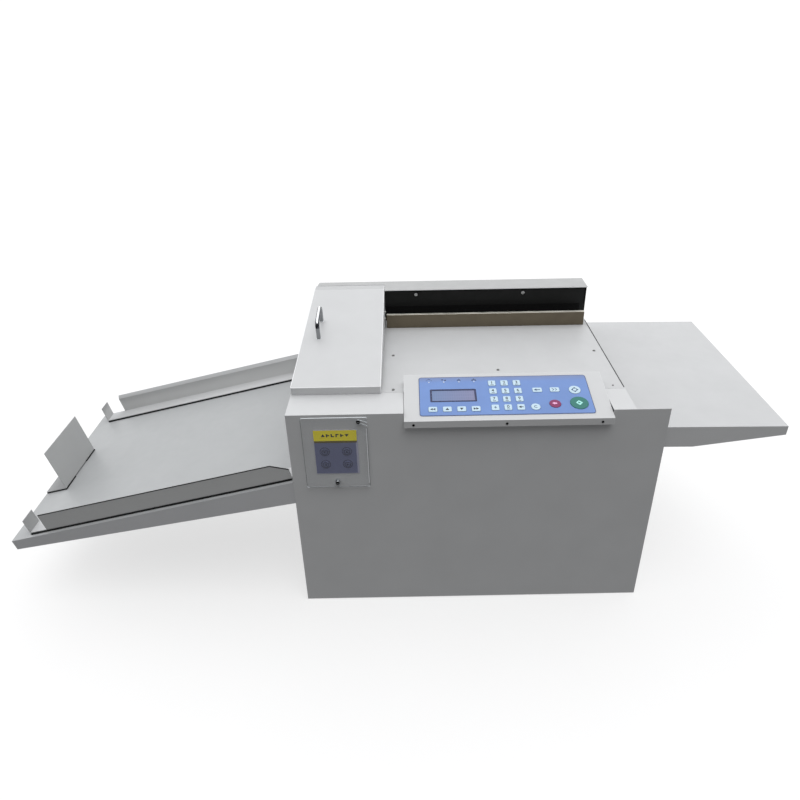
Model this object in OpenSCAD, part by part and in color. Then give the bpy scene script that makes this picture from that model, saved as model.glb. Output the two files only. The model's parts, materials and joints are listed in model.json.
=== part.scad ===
// Desktop paper creasing machine: a sheet-metal cabinet with a flat deck, a hinged cover over the
// creasing rollers, a tilted key console, a sloping delivery tray and a side table.
// The cabinet is laid out from its front left foot corner (x right, y back, z up), and every piece
// is then moved so that the whole machine stands centred over the origin.

/* [Cabinet] */
// Width of the cabinet between the outer faces of its side panels
cabinet_w = 583; // [540:1:620]
// Depth of the cabinet, from the front panel's face to the rear housing's back
cabinet_d = 434; // [425:1:460]
// Height of the deck above the desk
deck_h = 423; // [410:1:440]
// Height of the rear housing's top above the deck
housing_rise = 71; // [68:1:76]
// Depth of the rear housing's top, in front of its back
housing_d = 53; // [50:1:60]
// Thickness of the cabinet's sheet metal
sheet = 2; // [1.6:0.1:2]
// Width of the front panel, which runs past the cabinet's right side
front_w = 640; // [625:1:660]
// Depth of the front panel's top flange
front_flange_d = 71.5; // [70:0.5:72]

/* [Crease cover] */
// Left face of the hinged cover
cover_x = 0.5; // [0.5:0.5:2]
// Width of the hinged cover
cover_w = 157; // [154:0.5:157.5]
// How far the cover's left wall leans in at its rear
cover_lean = 10.2; // [9:0.1:10.5]
// Front face of the hinged cover
cover_y = 68; // [66:0.5:69]
// Height of the cover's front wall above the deck
cover_front_h = 14.5; // [14:0.5:17]
// Distance from the cover's top rear edge to its hinge pins, forward and down
hinge_inset = 12; // [11.5:0.1:12.5]
// Radius of the hinge pins
hinge_pin_r = 3; // [2.5:0.1:3.2]

/* [Delivery tray] */
// Length of the tray down its slope
tray_len = 546.5; // [540:0.5:560]
// Slope of the tray
tray_slope = 13; // [11:0.5:14]
// Height of the tray's surface at the cabinet
tray_h = 285; // [275:1:295]
// Front edge of the tray
tray_y = 1.5; // [1:0.5:3]
// Width of the tray from front to back
tray_w = 442; // [438:1:444]
// Length of the two side guides
guide_len = 508; // [500:1:510]
// Height of the front guide's wall
front_guide_h = 37; // [34:1:40]
// Height of the rear guide's wall
rear_guide_h = 37; // [32:1:40]
// Width of the paper stop
stop_w = 141; // [130:1:150]
// Height of the paper stop
stop_h = 90; // [80:1:95]

/* [Feed table] */
// Length of the side table
table_len = 264; // [240:1:280]
// Height of the side table at the cabinet
table_h = 384; // [376:1:388]
// Droop of the side table away from the cabinet
table_droop = 0.7; // [0:0.1:1]
// Front edge of the side table
table_y = 5; // [4:0.5:6]
// Width of the side table from front to back
table_w = 443; // [430:1:450]

/* [Console] */
// Left side of the console
console_x = 197; // [190:1:200]
// Width of the console
console_w = 347.5; // [345:0.5:350]
// Length of the console's sloping top
console_len = 119.5; // [118:0.5:122]
// Tilt of the console's top
console_tilt = 12; // [11:0.5:13]
// Height of the console's rear edge above the deck
console_rise = 16; // [15:0.5:18]
// Rear edge of the console
console_y = 105; // [102:1:110]
// Height of the console's front face
console_front_h = 12.4; // [12:0.1:13]
// Travel of a console key
key_travel = 0.5; // [0.3:0.1:0.5]

/* [Crease unit] */
// Radius of the driven rollers' tyres
roller_r = 12; // [10:0.5:12]
// Radius of the pinch rollers' tyres
pinch_r = 7; // [6:0.5:7]
// Middle of the infeed rollers
infeed_x = 118; // [116:1:120]
// Middle of the outfeed rollers
outfeed_x = 44; // [42:1:46]
// Middle of the crease blade
blade_x = 81; // [80:1:82]
// Lift of the crease blade
blade_lift = 8; // [6:0.5:8]

/* [Hidden] */
$fn = 48;
thin = 1.5;
screw_head_h = 1.6;
top_h = deck_h + housing_rise;
foot_h = 10;
floor_top = foot_h + sheet;
front_bottom = 2;
left_panel_top = deck_h - 8;
back_y = cabinet_d - 4;
housing_y = cabinet_d - housing_d;
cover_right = cover_x + cover_w;
cover_bend_y = 390;
cover_rear_y = 412;
cover_clear = 0.4;
cover_slope = atan((housing_rise - cover_front_h) / (cover_bend_y - cover_y));
hinge_y = cover_rear_y - hinge_inset;
hinge_z = top_h - hinge_inset;
hinge_fit = 0.07;
throat_h = 8;
tray_low = 20.6;
tray_high = 45;
plate_front_y = 76;
plate_rear_y = 352;
plate_t = 4;
nip_gap = 0.5;
die_rise = 4;
blade_rest = 2.5;
key_rise = key_travel + 0.2;
key_h = 3.4;
drive_z = deck_h - roller_r;
pinch_z = deck_h + nip_gap + pinch_r;
fence_y = 346.5;
fence_left = 161.5;
fence_right = 573;
fence_h = 29.5;
board_y = housing_y + 6;
wall_x = cover_right + 0.6;
adjust_x = 80.8;
stop_x = -tray_len + 0.9;
stop_y = 143;
guide_foot_z = 2.5;
rear_wall_y = tray_y + tray_w - 2.7;
socket_x = 70;
switch_x = 112;
power_z = 60;
swing_x = 25;
swing_z = 279;
swing_w = 111;
swing_h = 141.5;
swing_y = -6.5;
swing_t = 2;
swing_pin = [79, 289];
swing_pin_r = 2.5;
swing_lock = [121.2, 413];
button_r = 6;
button_x = [60.8, 98.5];
button_z = [350.5, 324.3];
// The whole machine's reach, from which its middle is worked out
reach_left = -tray_len * cos(tray_slope);
reach_right = cabinet_w + table_len * cos(table_droop);
console_front_y = console_y - console_len * cos(console_tilt);
reach_front = console_front_y - screw_head_h;
reach_back = table_y + table_w;
mid_x = (reach_left + reach_right) / 2;
mid_y = (reach_front + reach_back) / 2;
// Console keys, as places across and down the console's top
function_keys = [for (i = [0:3]) [48.6 + i * 24.1, 92.1]];
number_keys = [for (row = [0:3]) for (col = [0:2]) [153.4 + col * 21.5, 27.7 + row * 20.8]];
mode_keys = [[229.6, 47.4], [259.6, 47.4]];
arrow_key = [294, 48.8];
clear_key = [221, 90];
stop_key = [254.8, 83.2];
start_key = [295.6, 82.2];
function_key_size = [14.5, 12];
number_key_size = [12.5, 13.5];
mode_key_size = [16, 11];
arrow_key_r = 10;
clear_key_r = 7.7;
stop_key_r = 9.6;
start_key_r = 15.2;
overlay_t = 0.8;
key_gap = 0.4;
screen_size = [77.5, 30.5];
screen_pos = [84.7, 57.5];

// Moves a piece from the cabinet's corner to the machine's middle
module placed() {
    translate([-mid_x, -mid_y, 0]) children();
}

// A box between two corners
module box(low, high) {
    translate(low) cube(high - low);
}

// Stands the tray's own frame at the cabinet's left side: x runs up the slope, z is its normal
module on_tray() {
    placed() translate([0, 0, tray_h]) rotate([0, -tray_slope, 0]) children();
}

// Stands the table's own frame at the cabinet's right side: x runs away from the cabinet
module on_table() {
    placed() translate([cabinet_w, 0, table_h]) rotate([0, table_droop, 0]) children();
}

// Stands the console's own frame at its rear left corner: y runs towards the rear
module on_console() {
    placed() translate([console_x, console_y, deck_h + console_rise])
        rotate([console_tilt, 0, 0]) children();
}

// Extrudes an outline of y and z points along x
module along_x(from, to) {
    translate([from, 0, 0]) rotate([90, 0, 90]) linear_extrude(height = to - from) children();
}

// Extrudes an outline of x and z points along y
module along_y(from, to) {
    translate([0, to, 0]) rotate([90, 0, 0]) linear_extrude(height = to - from) children();
}

// A round bar along y
module bar_y(x, z, r, from, to) {
    translate([x, to, z]) rotate([90, 0, 0]) cylinder(r = r, h = to - from);
}

// A round bar along x
module bar_x(y, z, r, from, to) {
    translate([from, y, z]) rotate([0, 90, 0]) cylinder(r = r, h = to - from);
}

// A flat plate with rounded corners, centred across and down, its top at height z
module rounded_plate(size, corner, thickness, z) {
    translate([0, 0, z - thickness]) linear_extrude(height = thickness) rounded_outline(size, corner);
}

// A rectangle with rounded corners
module rounded_outline(size, corner) {
    square([size[0], size[1] - 2 * corner], center = true);
    square([size[0] - 2 * corner, size[1]], center = true);
    for (sx = [-1, 1]) {
        for (sy = [-1, 1]) {
            translate([sx * (size[0] / 2 - corner), sy * (size[1] / 2 - corner)]) circle(r = corner);
        }
    }
}

// Floor of the cabinet, with upstands that the front and back panels are screwed to
module base_pan() {
    upstand = 22;
    color("silver") placed() difference() {
        union() {
            box([0, sheet, foot_h], [cabinet_w, back_y, floor_top]);
            box([sheet, sheet, floor_top], [cabinet_w - sheet, 2 * sheet, floor_top + upstand]);
            box([sheet, back_y - sheet, floor_top], [cabinet_w - sheet, back_y, floor_top + upstand]);
        }
        for (i = [0:7]) {
            box([230 + i * 30, 160, 0], [240 + i * 30, 280, floor_top + 1]);
        }
    }
}

// Front face with the top flange, notched for the console and bored for the adjuster's buttons
module front_panel() {
    notch_low = deck_h + console_rise - console_len * sin(console_tilt) - console_front_h;
    notch_gap = 0.6;
    color("gainsboro") placed() difference() {
        union() {
            box([0, 0, front_bottom], [front_w, sheet, deck_h]);
            box([0, sheet, deck_h - sheet], [cabinet_w, front_flange_d, deck_h]);
        }
        box([console_x - notch_gap, -1, notch_low - notch_gap],
            [console_x + console_w + notch_gap, front_flange_d + 1, deck_h + 1]);
        for (x = button_x) {
            for (z = button_z) {
                bar_y(x, z, button_r + key_gap, -1, sheet + 1);
            }
        }
    }
}

// The two side panels; the left one ends below the deck, where the paper leaves
module side_panels() {
    color("gainsboro") placed() {
        box([0, sheet, floor_top], [sheet, back_y, left_panel_top]);
        box([cabinet_w - sheet, sheet, floor_top], [cabinet_w, back_y, deck_h - sheet]);
    }
}

// Back panel with cut-outs for the power socket and switch, and a vent
module back_panel() {
    color("gainsboro") placed() difference() {
        box([0, back_y, foot_h], [cabinet_w, back_y + sheet, deck_h - sheet]);
        box([socket_x - 13.5, back_y - 1, power_z - 10],
            [socket_x + 13.5, back_y + sheet + 1, power_z + 10]);
        box([switch_x - 10.2, back_y - 1, power_z - 7.2],
            [switch_x + 10.2, back_y + sheet + 1, power_z + 7.2]);
        for (i = [0:9]) {
            box([300, back_y - 1, 70 + i * 9], [420, back_y + sheet + 1, 74 + i * 9]);
        }
    }
}

// Deck that the sheets slide over, from the cover to the right side and back to the dark board
module deck_plate() {
    color("whitesmoke") placed() difference() {
        box([142, front_flange_d + 0.5, deck_h - sheet], [cabinet_w, board_y + sheet, deck_h]);
        box([140, plate_rear_y - 2, deck_h - 5], [wall_x - 0.2, board_y + 5, deck_h + 1]);
    }
}

// Housing over the rear of the deck, set back where the cover's rear edge turns; its left wall
// runs on slantwise from the cover's leaning wall
module rear_housing() {
    left_front = 14;
    left_rear = 16.5;
    set_back = cover_rear_y + 2.3;
    wall_y = set_back + 5;
    rear_y = cabinet_d - sheet;
    side_y = board_y + sheet;
    low = deck_h - 21;
    slant = (left_rear - left_front) / (cabinet_d - set_back);
    wall_left = left_front + (wall_y - set_back) * slant;
    rear_left = left_front + (rear_y - set_back) * slant;
    back_left = left_front + (back_y - set_back) * slant;
    color("gainsboro") placed() {
        translate([0, 0, top_h - thin]) linear_extrude(height = thin) polygon([[left_front, set_back],
            [wall_x, set_back], [wall_x, housing_y], [cabinet_w, housing_y], [cabinet_w, cabinet_d],
            [left_rear, cabinet_d]]);
        box([left_rear, rear_y, low], [cabinet_w, cabinet_d, top_h - thin]);
        translate([0, 0, deck_h - sheet]) linear_extrude(height = top_h - thin - deck_h + sheet)
            polygon([[wall_left, wall_y], [wall_left + thin, wall_y], [rear_left + thin, rear_y],
                [rear_left, rear_y]]);
        translate([0, 0, low]) linear_extrude(height = deck_h - sheet - low)
            polygon([[wall_left, wall_y], [wall_left + thin, wall_y], [back_left + thin, back_y],
                [back_left, back_y]]);
        box([wall_x, side_y, deck_h], [wall_x + sheet, rear_y, top_h - thin]);
        box([cabinet_w - sheet, side_y, deck_h], [cabinet_w, rear_y, top_h - thin]);
    }
}

// Dark board that closes the housing's front
module back_board() {
    color("dimgray") placed() box([wall_x, board_y, deck_h],
        [cabinet_w, board_y + sheet, top_h - thin]);
}

// Side fence that squares the sheets, a channel with its foot and its narrower top edge behind it
module side_fence() {
    color("darkkhaki") placed() {
        box([fence_left, fence_y, deck_h], [fence_right, fence_y + 3, deck_h + fence_h]);
        box([fence_left, fence_y + 3, deck_h], [fence_right, fence_y + 25, deck_h + 2]);
        box([fence_left, fence_y + 3, deck_h + fence_h - 2],
            [fence_right, fence_y + 8, deck_h + fence_h]);
    }
}

// Side table: a sheet with folded edges that deepen towards the cabinet
module feed_table() {
    shallow = 17;
    deep = 40;
    even_part = 109;
    color("whitesmoke") on_table() {
        box([0.1, table_y, -thin], [table_len, table_y + table_w, 0]);
        box([table_len - thin, table_y + thin, -shallow], [table_len, table_y + table_w - thin, -thin]);
        for (y = [table_y, table_y + table_w - thin]) {
            along_y(y, y + thin) polygon([[1, -thin], [table_len, -thin], [table_len, -shallow],
                [even_part, -deep], [1, -deep]]);
        }
    }
}

// Delivery tray: a sloping sheet with folded edges, cut off upright where it meets the cabinet
module delivery_tray() {
    upright = tan(tray_slope);
    color("gainsboro") on_tray() {
        box([-tray_len, tray_y, -thin], [-thin * upright, tray_y + tray_w, 0]);
        box([-tray_len, tray_y + thin, -tray_low], [-tray_len + thin, tray_y + tray_w - thin, -thin]);
        for (y = [tray_y, tray_y + tray_w - thin]) {
            along_y(y, y + thin) polygon([[-tray_len, -thin], [-thin * upright, -thin],
                [-tray_high * upright, -tray_high], [-tray_len, -tray_low]]);
        }
    }
}

// Front guide: a foot on its magnet, a wall along its front edge and a small tab at its end
module front_guide() {
    wall_y = 10.8;
    tab_h = 32;
    foot_z = guide_foot_z;
    color("silver") on_tray() {
        box([-guide_len - 4, wall_y, foot_z], [-2, wall_y + 34, foot_z + 1.2]);
        along_y(wall_y, wall_y + 1.2) polygon([[-guide_len + 29, foot_z + 1.2], [-2, foot_z + 1.2],
            [-2, 22], [-33, front_guide_h], [-guide_len + 29, front_guide_h]]);
        box([-guide_len - 4, wall_y, foot_z + 1.2], [-guide_len - 2.8, wall_y + 34, tab_h]);
    }
}

module front_guide_magnet() {
    color("black") on_tray() box([-guide_len - 2, 7.8, 0.4], [-3, 24.8, guide_foot_z]);
}

// Rear guide: the same, turned round, its top edge bent outwards to lead the sheets in
module rear_guide() {
    wall_y = rear_wall_y;
    foot_z = guide_foot_z;
    lip = 5.8;
    color("silver") on_tray() {
        box([-guide_len - 12, wall_y - 34, foot_z], [-8, wall_y + 1.2, foot_z + 1.2]);
        box([-guide_len + 18.5, wall_y, foot_z + 1.2], [-8, wall_y + 1.2, rear_guide_h]);
        along_x(-guide_len + 18.5, -8) polygon([[wall_y, rear_guide_h], [wall_y + 1.2, rear_guide_h],
            [wall_y + 1.2 + lip, rear_guide_h + lip], [wall_y + 0.4 + lip, rear_guide_h + lip + 0.9]]);
        box([-guide_len - 12, wall_y - 34, foot_z + 1.2], [-guide_len - 10.8, wall_y - 1, 37]);
    }
}

module rear_guide_magnet() {
    color("black") on_tray() box([-guide_len - 10, rear_wall_y - 37, 0.4],
        [-10, rear_wall_y - 19, guide_foot_z]);
}

// Paper stop: an upright plate with a foot behind it
module paper_stop() {
    color("lightgray") on_tray() {
        box([stop_x, stop_y, 2.3], [stop_x + 43.5, stop_y + stop_w, 3.5]);
        box([stop_x + 42.3, stop_y, 3.5], [stop_x + 43.5, stop_y + stop_w, stop_h]);
    }
}

module stop_magnets() {
    color("black") on_tray() {
        for (y = [stop_y, stop_y + stop_w - 42]) {
            box([stop_x + 1, y - 1, 0.4], [stop_x + 44.5, y + 43, 2.3]);
        }
    }
}

// Side outline of the console, shrunk inwards by a wall thickness
module console_outline(wall) {
    front_top = deck_h + console_rise - console_len * sin(console_tilt);
    slope = tan(console_tilt);
    low = front_top - console_front_h;
    front_y = console_front_y + wall;
    lift = (console_rise + deck_h - wall / cos(console_tilt)) - (console_y - console_front_y) * slope;
    polygon([[front_y, low + wall], [front_y, lift + wall * slope],
        [console_y - wall, lift + (console_y - wall - console_front_y) * slope],
        [console_y - wall, deck_h + wall], [front_flange_d - 3 - wall, deck_h + wall],
        [front_flange_d - 3 - wall, low + wall]]);
}

// Cuts the console's top for its keys and its display, each with a gap round it
module key_holes() {
    for (k = function_keys) {
        translate([k[0], -k[1], 0]) rounded_plate(function_key_size + [1, 1] * 2 * key_gap, 2.2, 12, 6);
    }
    for (k = number_keys) {
        translate([k[0], -k[1], 0]) rounded_plate(number_key_size + [1, 1] * 2 * key_gap, 2.2, 12, 6);
    }
    for (k = mode_keys) {
        translate([k[0], -k[1], 0]) rounded_plate(mode_key_size + [1, 1] * 2 * key_gap, 2.2, 12, 6);
    }
    translate([arrow_key[0], -arrow_key[1], -6]) cylinder(r = arrow_key_r + key_gap, h = 12);
    translate([clear_key[0], -clear_key[1], -6]) cylinder(r = clear_key_r + key_gap, h = 12);
    translate([stop_key[0], -stop_key[1], -6]) cylinder(r = stop_key_r + key_gap, h = 12);
    translate([start_key[0], -start_key[1], -6]) cylinder(r = start_key_r + key_gap, h = 12);
    translate([screen_pos[0], -screen_pos[1], 0]) rounded_plate(screen_size, 1, 12, 6);
}

// Console: a folded sheet-metal box that hangs over the front panel
module control_box() {
    color("whitesmoke") {
        difference() {
            placed() difference() {
                along_x(console_x, console_x + console_w) console_outline(0);
                along_x(console_x + thin, console_x + console_w - thin) console_outline(thin);
            }
            on_console() key_holes();
        }
    }
}

// Printed key foil on the console's top
module keypad_overlay() {
    foil_size = [293, 98.5];
    foil_pos = [172.7, 58.2];
    color("royalblue") on_console() difference() {
        translate([foil_pos[0], -foil_pos[1], 0]) rounded_plate(foil_size, 5, overlay_t, overlay_t);
        key_holes();
    }
}

// Display module, its glass level with the foil
module lcd_display() {
    color("slategray") on_console() translate([screen_pos[0], -screen_pos[1], 0])
        rounded_plate(screen_size - [0.6, 0.6], 1, 5.5, 0.4);
}

// A key with a flat top, a little above the foil
module key_block(pos, size) {
    color("white") on_console() translate([pos[0], -pos[1], 0])
        rounded_plate(size, 2, key_h, overlay_t + key_rise);
}

// A round key
module key_round(pos, r, shade) {
    color(shade) on_console() translate([pos[0], -pos[1], overlay_t + key_rise - key_h])
        cylinder(r = r, h = key_h);
}

// Adjuster's plate on the front panel, bored for its four buttons
module adjuster_plate() {
    color("gold") placed() difference() {
        box([adjust_x - 37.2, -1, 304], [adjust_x + 37.2, 0, 394]);
        for (x = button_x) {
            for (z = button_z) {
                bar_y(x, z, button_r + key_gap, -2, 1);
            }
        }
    }
}

// One of the adjuster's four buttons
module adjuster_button(x, z) {
    color("slategray") placed() bar_y(x, z, button_r, -3, 6);
}

// Clear cover over the adjuster; it turns on its lower screw and its notch lets go of the upper one
module swing_cover() {
    reach = norm(swing_lock - swing_pin);
    slot = 2.8;
    color("azure", 0.35) placed() along_y(swing_y, swing_y + swing_t) difference() {
        translate([swing_x + swing_w / 2, swing_z + swing_h / 2]) rounded_outline([swing_w, swing_h], 3);
        translate(swing_pin) circle(r = swing_pin_r + hinge_fit);
        translate(swing_lock) circle(r = slot);
        translate(swing_pin) intersection() {
            difference() {
                circle(r = reach + slot);
                circle(r = reach - slot);
            }
            polygon([[0, 0], 1.3 * (swing_lock - swing_pin), [90, 155], [150, 60]]);
        }
    }
}

// Rubber feet under the four corners
module rubber_feet() {
    color("black") placed() {
        for (x = [40, cabinet_w - 40]) {
            for (y = [40, back_y - 40]) {
                translate([x, y, 0]) cylinder(r1 = 12, r2 = 14, h = foot_h, $fn = 64);
            }
        }
    }
}

// A low round screw head, its seat at z = 0
module screw_head(head_h) {
    cylinder(r = 3.4, h = head_h);
}

// Screws of the deck, the board, the console, the fence and the adjuster's cover
module screws() {
    console_low = deck_h + console_rise - console_len * sin(console_tilt) - console_front_h / 2 - 0.8;
    color("silver") placed() {
        for (p = [[176.6, 216], [178.5, 80.7], [565.4, 221.6], [370.5, 148.7]]) {
            translate([p[0], p[1], deck_h]) screw_head(1);
        }
        for (x = [223.5, 449]) {
            translate([x, board_y, top_h - 13]) rotate([90, 0, 0]) screw_head(screw_head_h);
        }
        for (x = [15.6, 170, 328]) {
            translate([console_x + x, console_front_y, console_low])
                rotate([90, 0, 0]) screw_head(screw_head_h);
        }
        for (x = [200, 370, 540]) {
            translate([x, fence_y + 14, deck_h + 2]) screw_head(screw_head_h);
        }
        translate([swing_pin[0], 0, swing_pin[1]]) rotate([90, 0, 0]) {
            cylinder(r = 5, h = -swing_y - swing_t - 0.3);
            cylinder(r = swing_pin_r, h = 7);
            translate([0, 0, -swing_y + 0.3]) cylinder(r = 4.5, h = 2);
        }
        translate([swing_lock[0], 0, swing_lock[1]]) rotate([90, 0, 0]) {
            cylinder(r = 2.2, h = 7);
            translate([0, 0, -swing_y + 0.3]) cylinder(r = 4.5, h = 2);
        }
    }
}

// Inlet for a mains lead
module power_socket() {
    color("black") placed() difference() {
        union() {
            box([socket_x - 15.5, back_y + sheet, power_z - 12],
                [socket_x + 15.5, back_y + sheet + 3, power_z + 12]);
            box([socket_x - 13.2, back_y - 22, power_z - 9.7],
                [socket_x + 13.2, back_y + sheet, power_z + 9.7]);
        }
        box([socket_x - 11.5, back_y - 16, power_z - 7.5],
            [socket_x + 11.5, back_y + sheet + 4, power_z + 7.5]);
    }
    color("silver") placed() {
        for (x = [-7, 0, 7]) {
            box([socket_x + x - 1, back_y - 16, power_z - 3],
                [socket_x + x + 1, back_y - 2, power_z + 3]);
        }
    }
}

// Rocker of the power switch, a wedge that rocks on the round pins at its sides
module power_switch() {
    rocker_w = 19;
    pins_w = 20;
    face_y = back_y + sheet;
    color("black") placed() {
        along_x(switch_x - rocker_w / 2, switch_x + rocker_w / 2)
            polygon([[back_y - 4, power_z - 5.5], [back_y - 4, power_z + 5.5], [face_y + 2.5, power_z + 5.2],
                [face_y + 0.6, power_z], [face_y + 0.6, power_z - 5.2]]);
        bar_x(back_y, power_z, 1.5, switch_x - pins_w / 2, switch_x + pins_w / 2);
    }
}

// Side outline of the hinged cover: its top slopes up to a bend and runs on level to the rear, where
// a round lobe goes about the hinge pins
module cover_outline() {
    lobe = hinge_inset;
    low = deck_h + cover_clear;
    polygon(concat([[cover_y, low], [cover_y, deck_h + cover_front_h], [cover_bend_y, top_h], [cover_rear_y, top_h]],
        [for (a = [0:-10:-90]) [hinge_y + lobe * cos(a), hinge_z + lobe * sin(a)]],
        [[hinge_y - lobe, hinge_z - lobe], [hinge_y - lobe, deck_h + 1], [plate_rear_y - 6, deck_h + 1],
        [plate_rear_y - 6, deck_h + throat_h], [cover_y + 14, deck_h + throat_h], [cover_y + 14, low]]));
}

// Everything left of the cover's leaning left wall, or of that wall's inner face
module left_of_wall(inset) {
    start = deck_h + cover_front_h;
    over = 10;
    lean = cover_lean / (housing_rise - cover_front_h);
    along_y(cover_y - 1, cover_rear_y + 20) polygon([[cover_x - 5, start], [cover_x + inset, start],
        [cover_x + inset + (top_h + over - start) * lean, top_h + over], [cover_x - 5, top_h + over]]);
}

// Hinged cover: top, front wall and two side walls that the paper passes under
module crease_cover() {
    wall = 2;
    rise = tan(cover_slope);
    inner_top = deck_h + cover_front_h - wall / cos(cover_slope);
    color("whitesmoke") placed() difference() {
        along_x(cover_x, cover_right) cover_outline();
        difference() {
            along_x(cover_x + wall, cover_right - wall) polygon([[cover_y + wall, deck_h - 10],
                [cover_y + wall, inner_top + wall * rise],
                [cover_bend_y, top_h - wall], [cover_rear_y + 5, top_h - wall],
                [cover_rear_y + 5, deck_h - 10]]);
            left_of_wall(wall);
        }
        left_of_wall(0);
        bar_x(hinge_y, hinge_z, hinge_pin_r + hinge_fit, cover_x - 1, cover_right + 1);
    }
}

// Bow handle on the cover, a round bar with bent corners
module cover_handle() {
    bar_r = 4;
    bend = 9;
    height = 34.5;
    span = 60;
    handle_x = 36.5;
    handle_y = 214;
    foot_z = deck_h + cover_front_h + (handle_y - cover_y) * tan(cover_slope);
    color("silver") placed() translate([handle_x, handle_y, foot_z])
        rotate([cover_slope, 0, 0]) {
            for (y = [0, span]) {
                translate([0, y, 0]) cylinder(r = bar_r, h = height - bend);
            }
            translate([0, bend, height]) rotate([-90, 0, 0]) cylinder(r = bar_r, h = span - 2 * bend);
            translate([0, bend, height - bend]) rotate([90, 0, 90]) bend_bar(bend, bar_r, 90);
            translate([0, span - bend, height - bend]) rotate([90, 0, 90]) bend_bar(bend, bar_r, 0);
        }
}

// A quarter bend of round bar
module bend_bar(radius, bar_r, start) {
    rotate([0, 0, start]) rotate_extrude(angle = 90) translate([radius, 0]) circle(r = bar_r);
}

// Frame of the crease unit: two end plates, the fixed upper die, paper guides and the cover's hinge ears
module unit_frame() {
    left = 14;
    right = 140;
    plate_top = deck_h + 13;
    bore_gap = 0.06;
    shaft_r = 5;
    pinch_shaft_r = 3;
    ear_r = 7;
    left_ear = cover_x + cover_lean + 2.8;
    shelf_y = hinge_y + ear_r;
    tyre_gap = 13.5;
    guide_spans = [[3, outfeed_x - tyre_gap], [outfeed_x + tyre_gap, blade_x - 3],
        [blade_x + 3, infeed_x - tyre_gap], [infeed_x + tyre_gap, 141.5]];
    color("lightslategray") placed() difference() {
        union() {
            for (y = [plate_front_y, plate_rear_y]) {
                box([left, y, floor_top], [right, y + plate_t, plate_top]);
            }
            box([blade_x - 11, plate_front_y + plate_t, deck_h + die_rise],
                [blade_x + 11, plate_rear_y, deck_h + 13.5]);
            for (span = guide_spans) {
                box([span[0], plate_front_y + plate_t, deck_h - 2], [span[1], plate_rear_y, deck_h]);
            }
            box([cover_x + 3, plate_rear_y, deck_h - 4], [cover_right - 3, shelf_y, deck_h]);
            for (x = [left_ear, cover_right - 6]) {
                box([x, hinge_y - ear_r, deck_h], [x + 3, hinge_y + ear_r, hinge_z]);
                bar_x(hinge_y, hinge_z, ear_r, x, x + 3);
            }
            bar_x(hinge_y, hinge_z, hinge_pin_r, left_ear - 5.7, left_ear + 0.5);
            bar_x(hinge_y, hinge_z, hinge_pin_r, cover_right - 3.5, cover_right + 0.5);
        }
        for (x = [infeed_x, outfeed_x]) {
            bar_y(x, drive_z, shaft_r + bore_gap, plate_front_y - 1, plate_rear_y + plate_t + 1);
            bar_y(x, pinch_z, pinch_shaft_r + bore_gap, plate_front_y - 1, plate_rear_y + plate_t + 1);
        }
        box([blade_x - 1.8, plate_front_y + plate_t + 0.5, deck_h + 3],
            [blade_x + 1.8, plate_rear_y - 0.5, deck_h + blade_lift]);
    }
}

// Crease blade on its beam, which lifts the sheet into the die's groove
module crease_blade() {
    color("silver") placed() {
        box([blade_x - 0.8, plate_front_y + plate_t + 4, deck_h - 28],
            [blade_x + 0.8, plate_rear_y - 4, deck_h - blade_rest]);
        box([blade_x - 9, plate_front_y + plate_t + 4, deck_h - 52],
            [blade_x + 9, plate_rear_y - 4, deck_h - 28]);
    }
}

// A roller: a shaft with three tyres
module roller(x, z, shaft_r, tyre_r) {
    gap = 0.5;
    placed() {
        bar_y(x, z, shaft_r, plate_front_y - 2, plate_rear_y + plate_t + 2);
        for (y = [100, 191, 282]) {
            bar_y(x, z, tyre_r, y, y + 50);
        }
        for (y = [plate_front_y + plate_t + gap, plate_rear_y - gap - 2]) {
            bar_y(x, z, shaft_r + 2, y, y + 2);
        }
    }
}

module infeed_roller() {
    color("dimgray") roller(infeed_x, drive_z, 5, roller_r);
}

module infeed_pinch_roller() {
    color("dimgray") roller(infeed_x, pinch_z, 3, pinch_r);
}

module outfeed_roller() {
    color("dimgray") roller(outfeed_x, drive_z, 5, roller_r);
}

module outfeed_pinch_roller() {
    color("dimgray") roller(outfeed_x, pinch_z, 3, pinch_r);
}

// Geared motor on the unit's front plate
module drive_motor() {
    motor_z = 250;
    gear_y = plate_front_y + plate_t;
    color("dimgray") placed() {
        bar_y(blade_x, motor_z, 31, gear_y + 30, gear_y + 105);
        box([blade_x - 32, gear_y, motor_z - 32], [blade_x + 32, gear_y + 30, motor_z + 32]);
    }
}

module adjuster_button_1() {
    adjuster_button(button_x[0], button_z[0]);
}

module adjuster_button_2() {
    adjuster_button(button_x[1], button_z[0]);
}

module adjuster_button_3() {
    adjuster_button(button_x[0], button_z[1]);
}

module adjuster_button_4() {
    adjuster_button(button_x[1], button_z[1]);
}

module function_key_1() {
    key_block(function_keys[0], function_key_size);
}

module function_key_2() {
    key_block(function_keys[1], function_key_size);
}

module function_key_3() {
    key_block(function_keys[2], function_key_size);
}

module function_key_4() {
    key_block(function_keys[3], function_key_size);
}

module number_key_1() {
    key_block(number_keys[0], number_key_size);
}

module number_key_2() {
    key_block(number_keys[1], number_key_size);
}

module number_key_3() {
    key_block(number_keys[2], number_key_size);
}

module number_key_4() {
    key_block(number_keys[3], number_key_size);
}

module number_key_5() {
    key_block(number_keys[4], number_key_size);
}

module number_key_6() {
    key_block(number_keys[5], number_key_size);
}

module number_key_7() {
    key_block(number_keys[6], number_key_size);
}

module number_key_8() {
    key_block(number_keys[7], number_key_size);
}

module number_key_9() {
    key_block(number_keys[8], number_key_size);
}

module number_key_left() {
    key_block(number_keys[9], number_key_size);
}

module number_key_0() {
    key_block(number_keys[10], number_key_size);
}

module number_key_right() {
    key_block(number_keys[11], number_key_size);
}

module mode_key_1() {
    key_block(mode_keys[0], mode_key_size);
}

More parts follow.
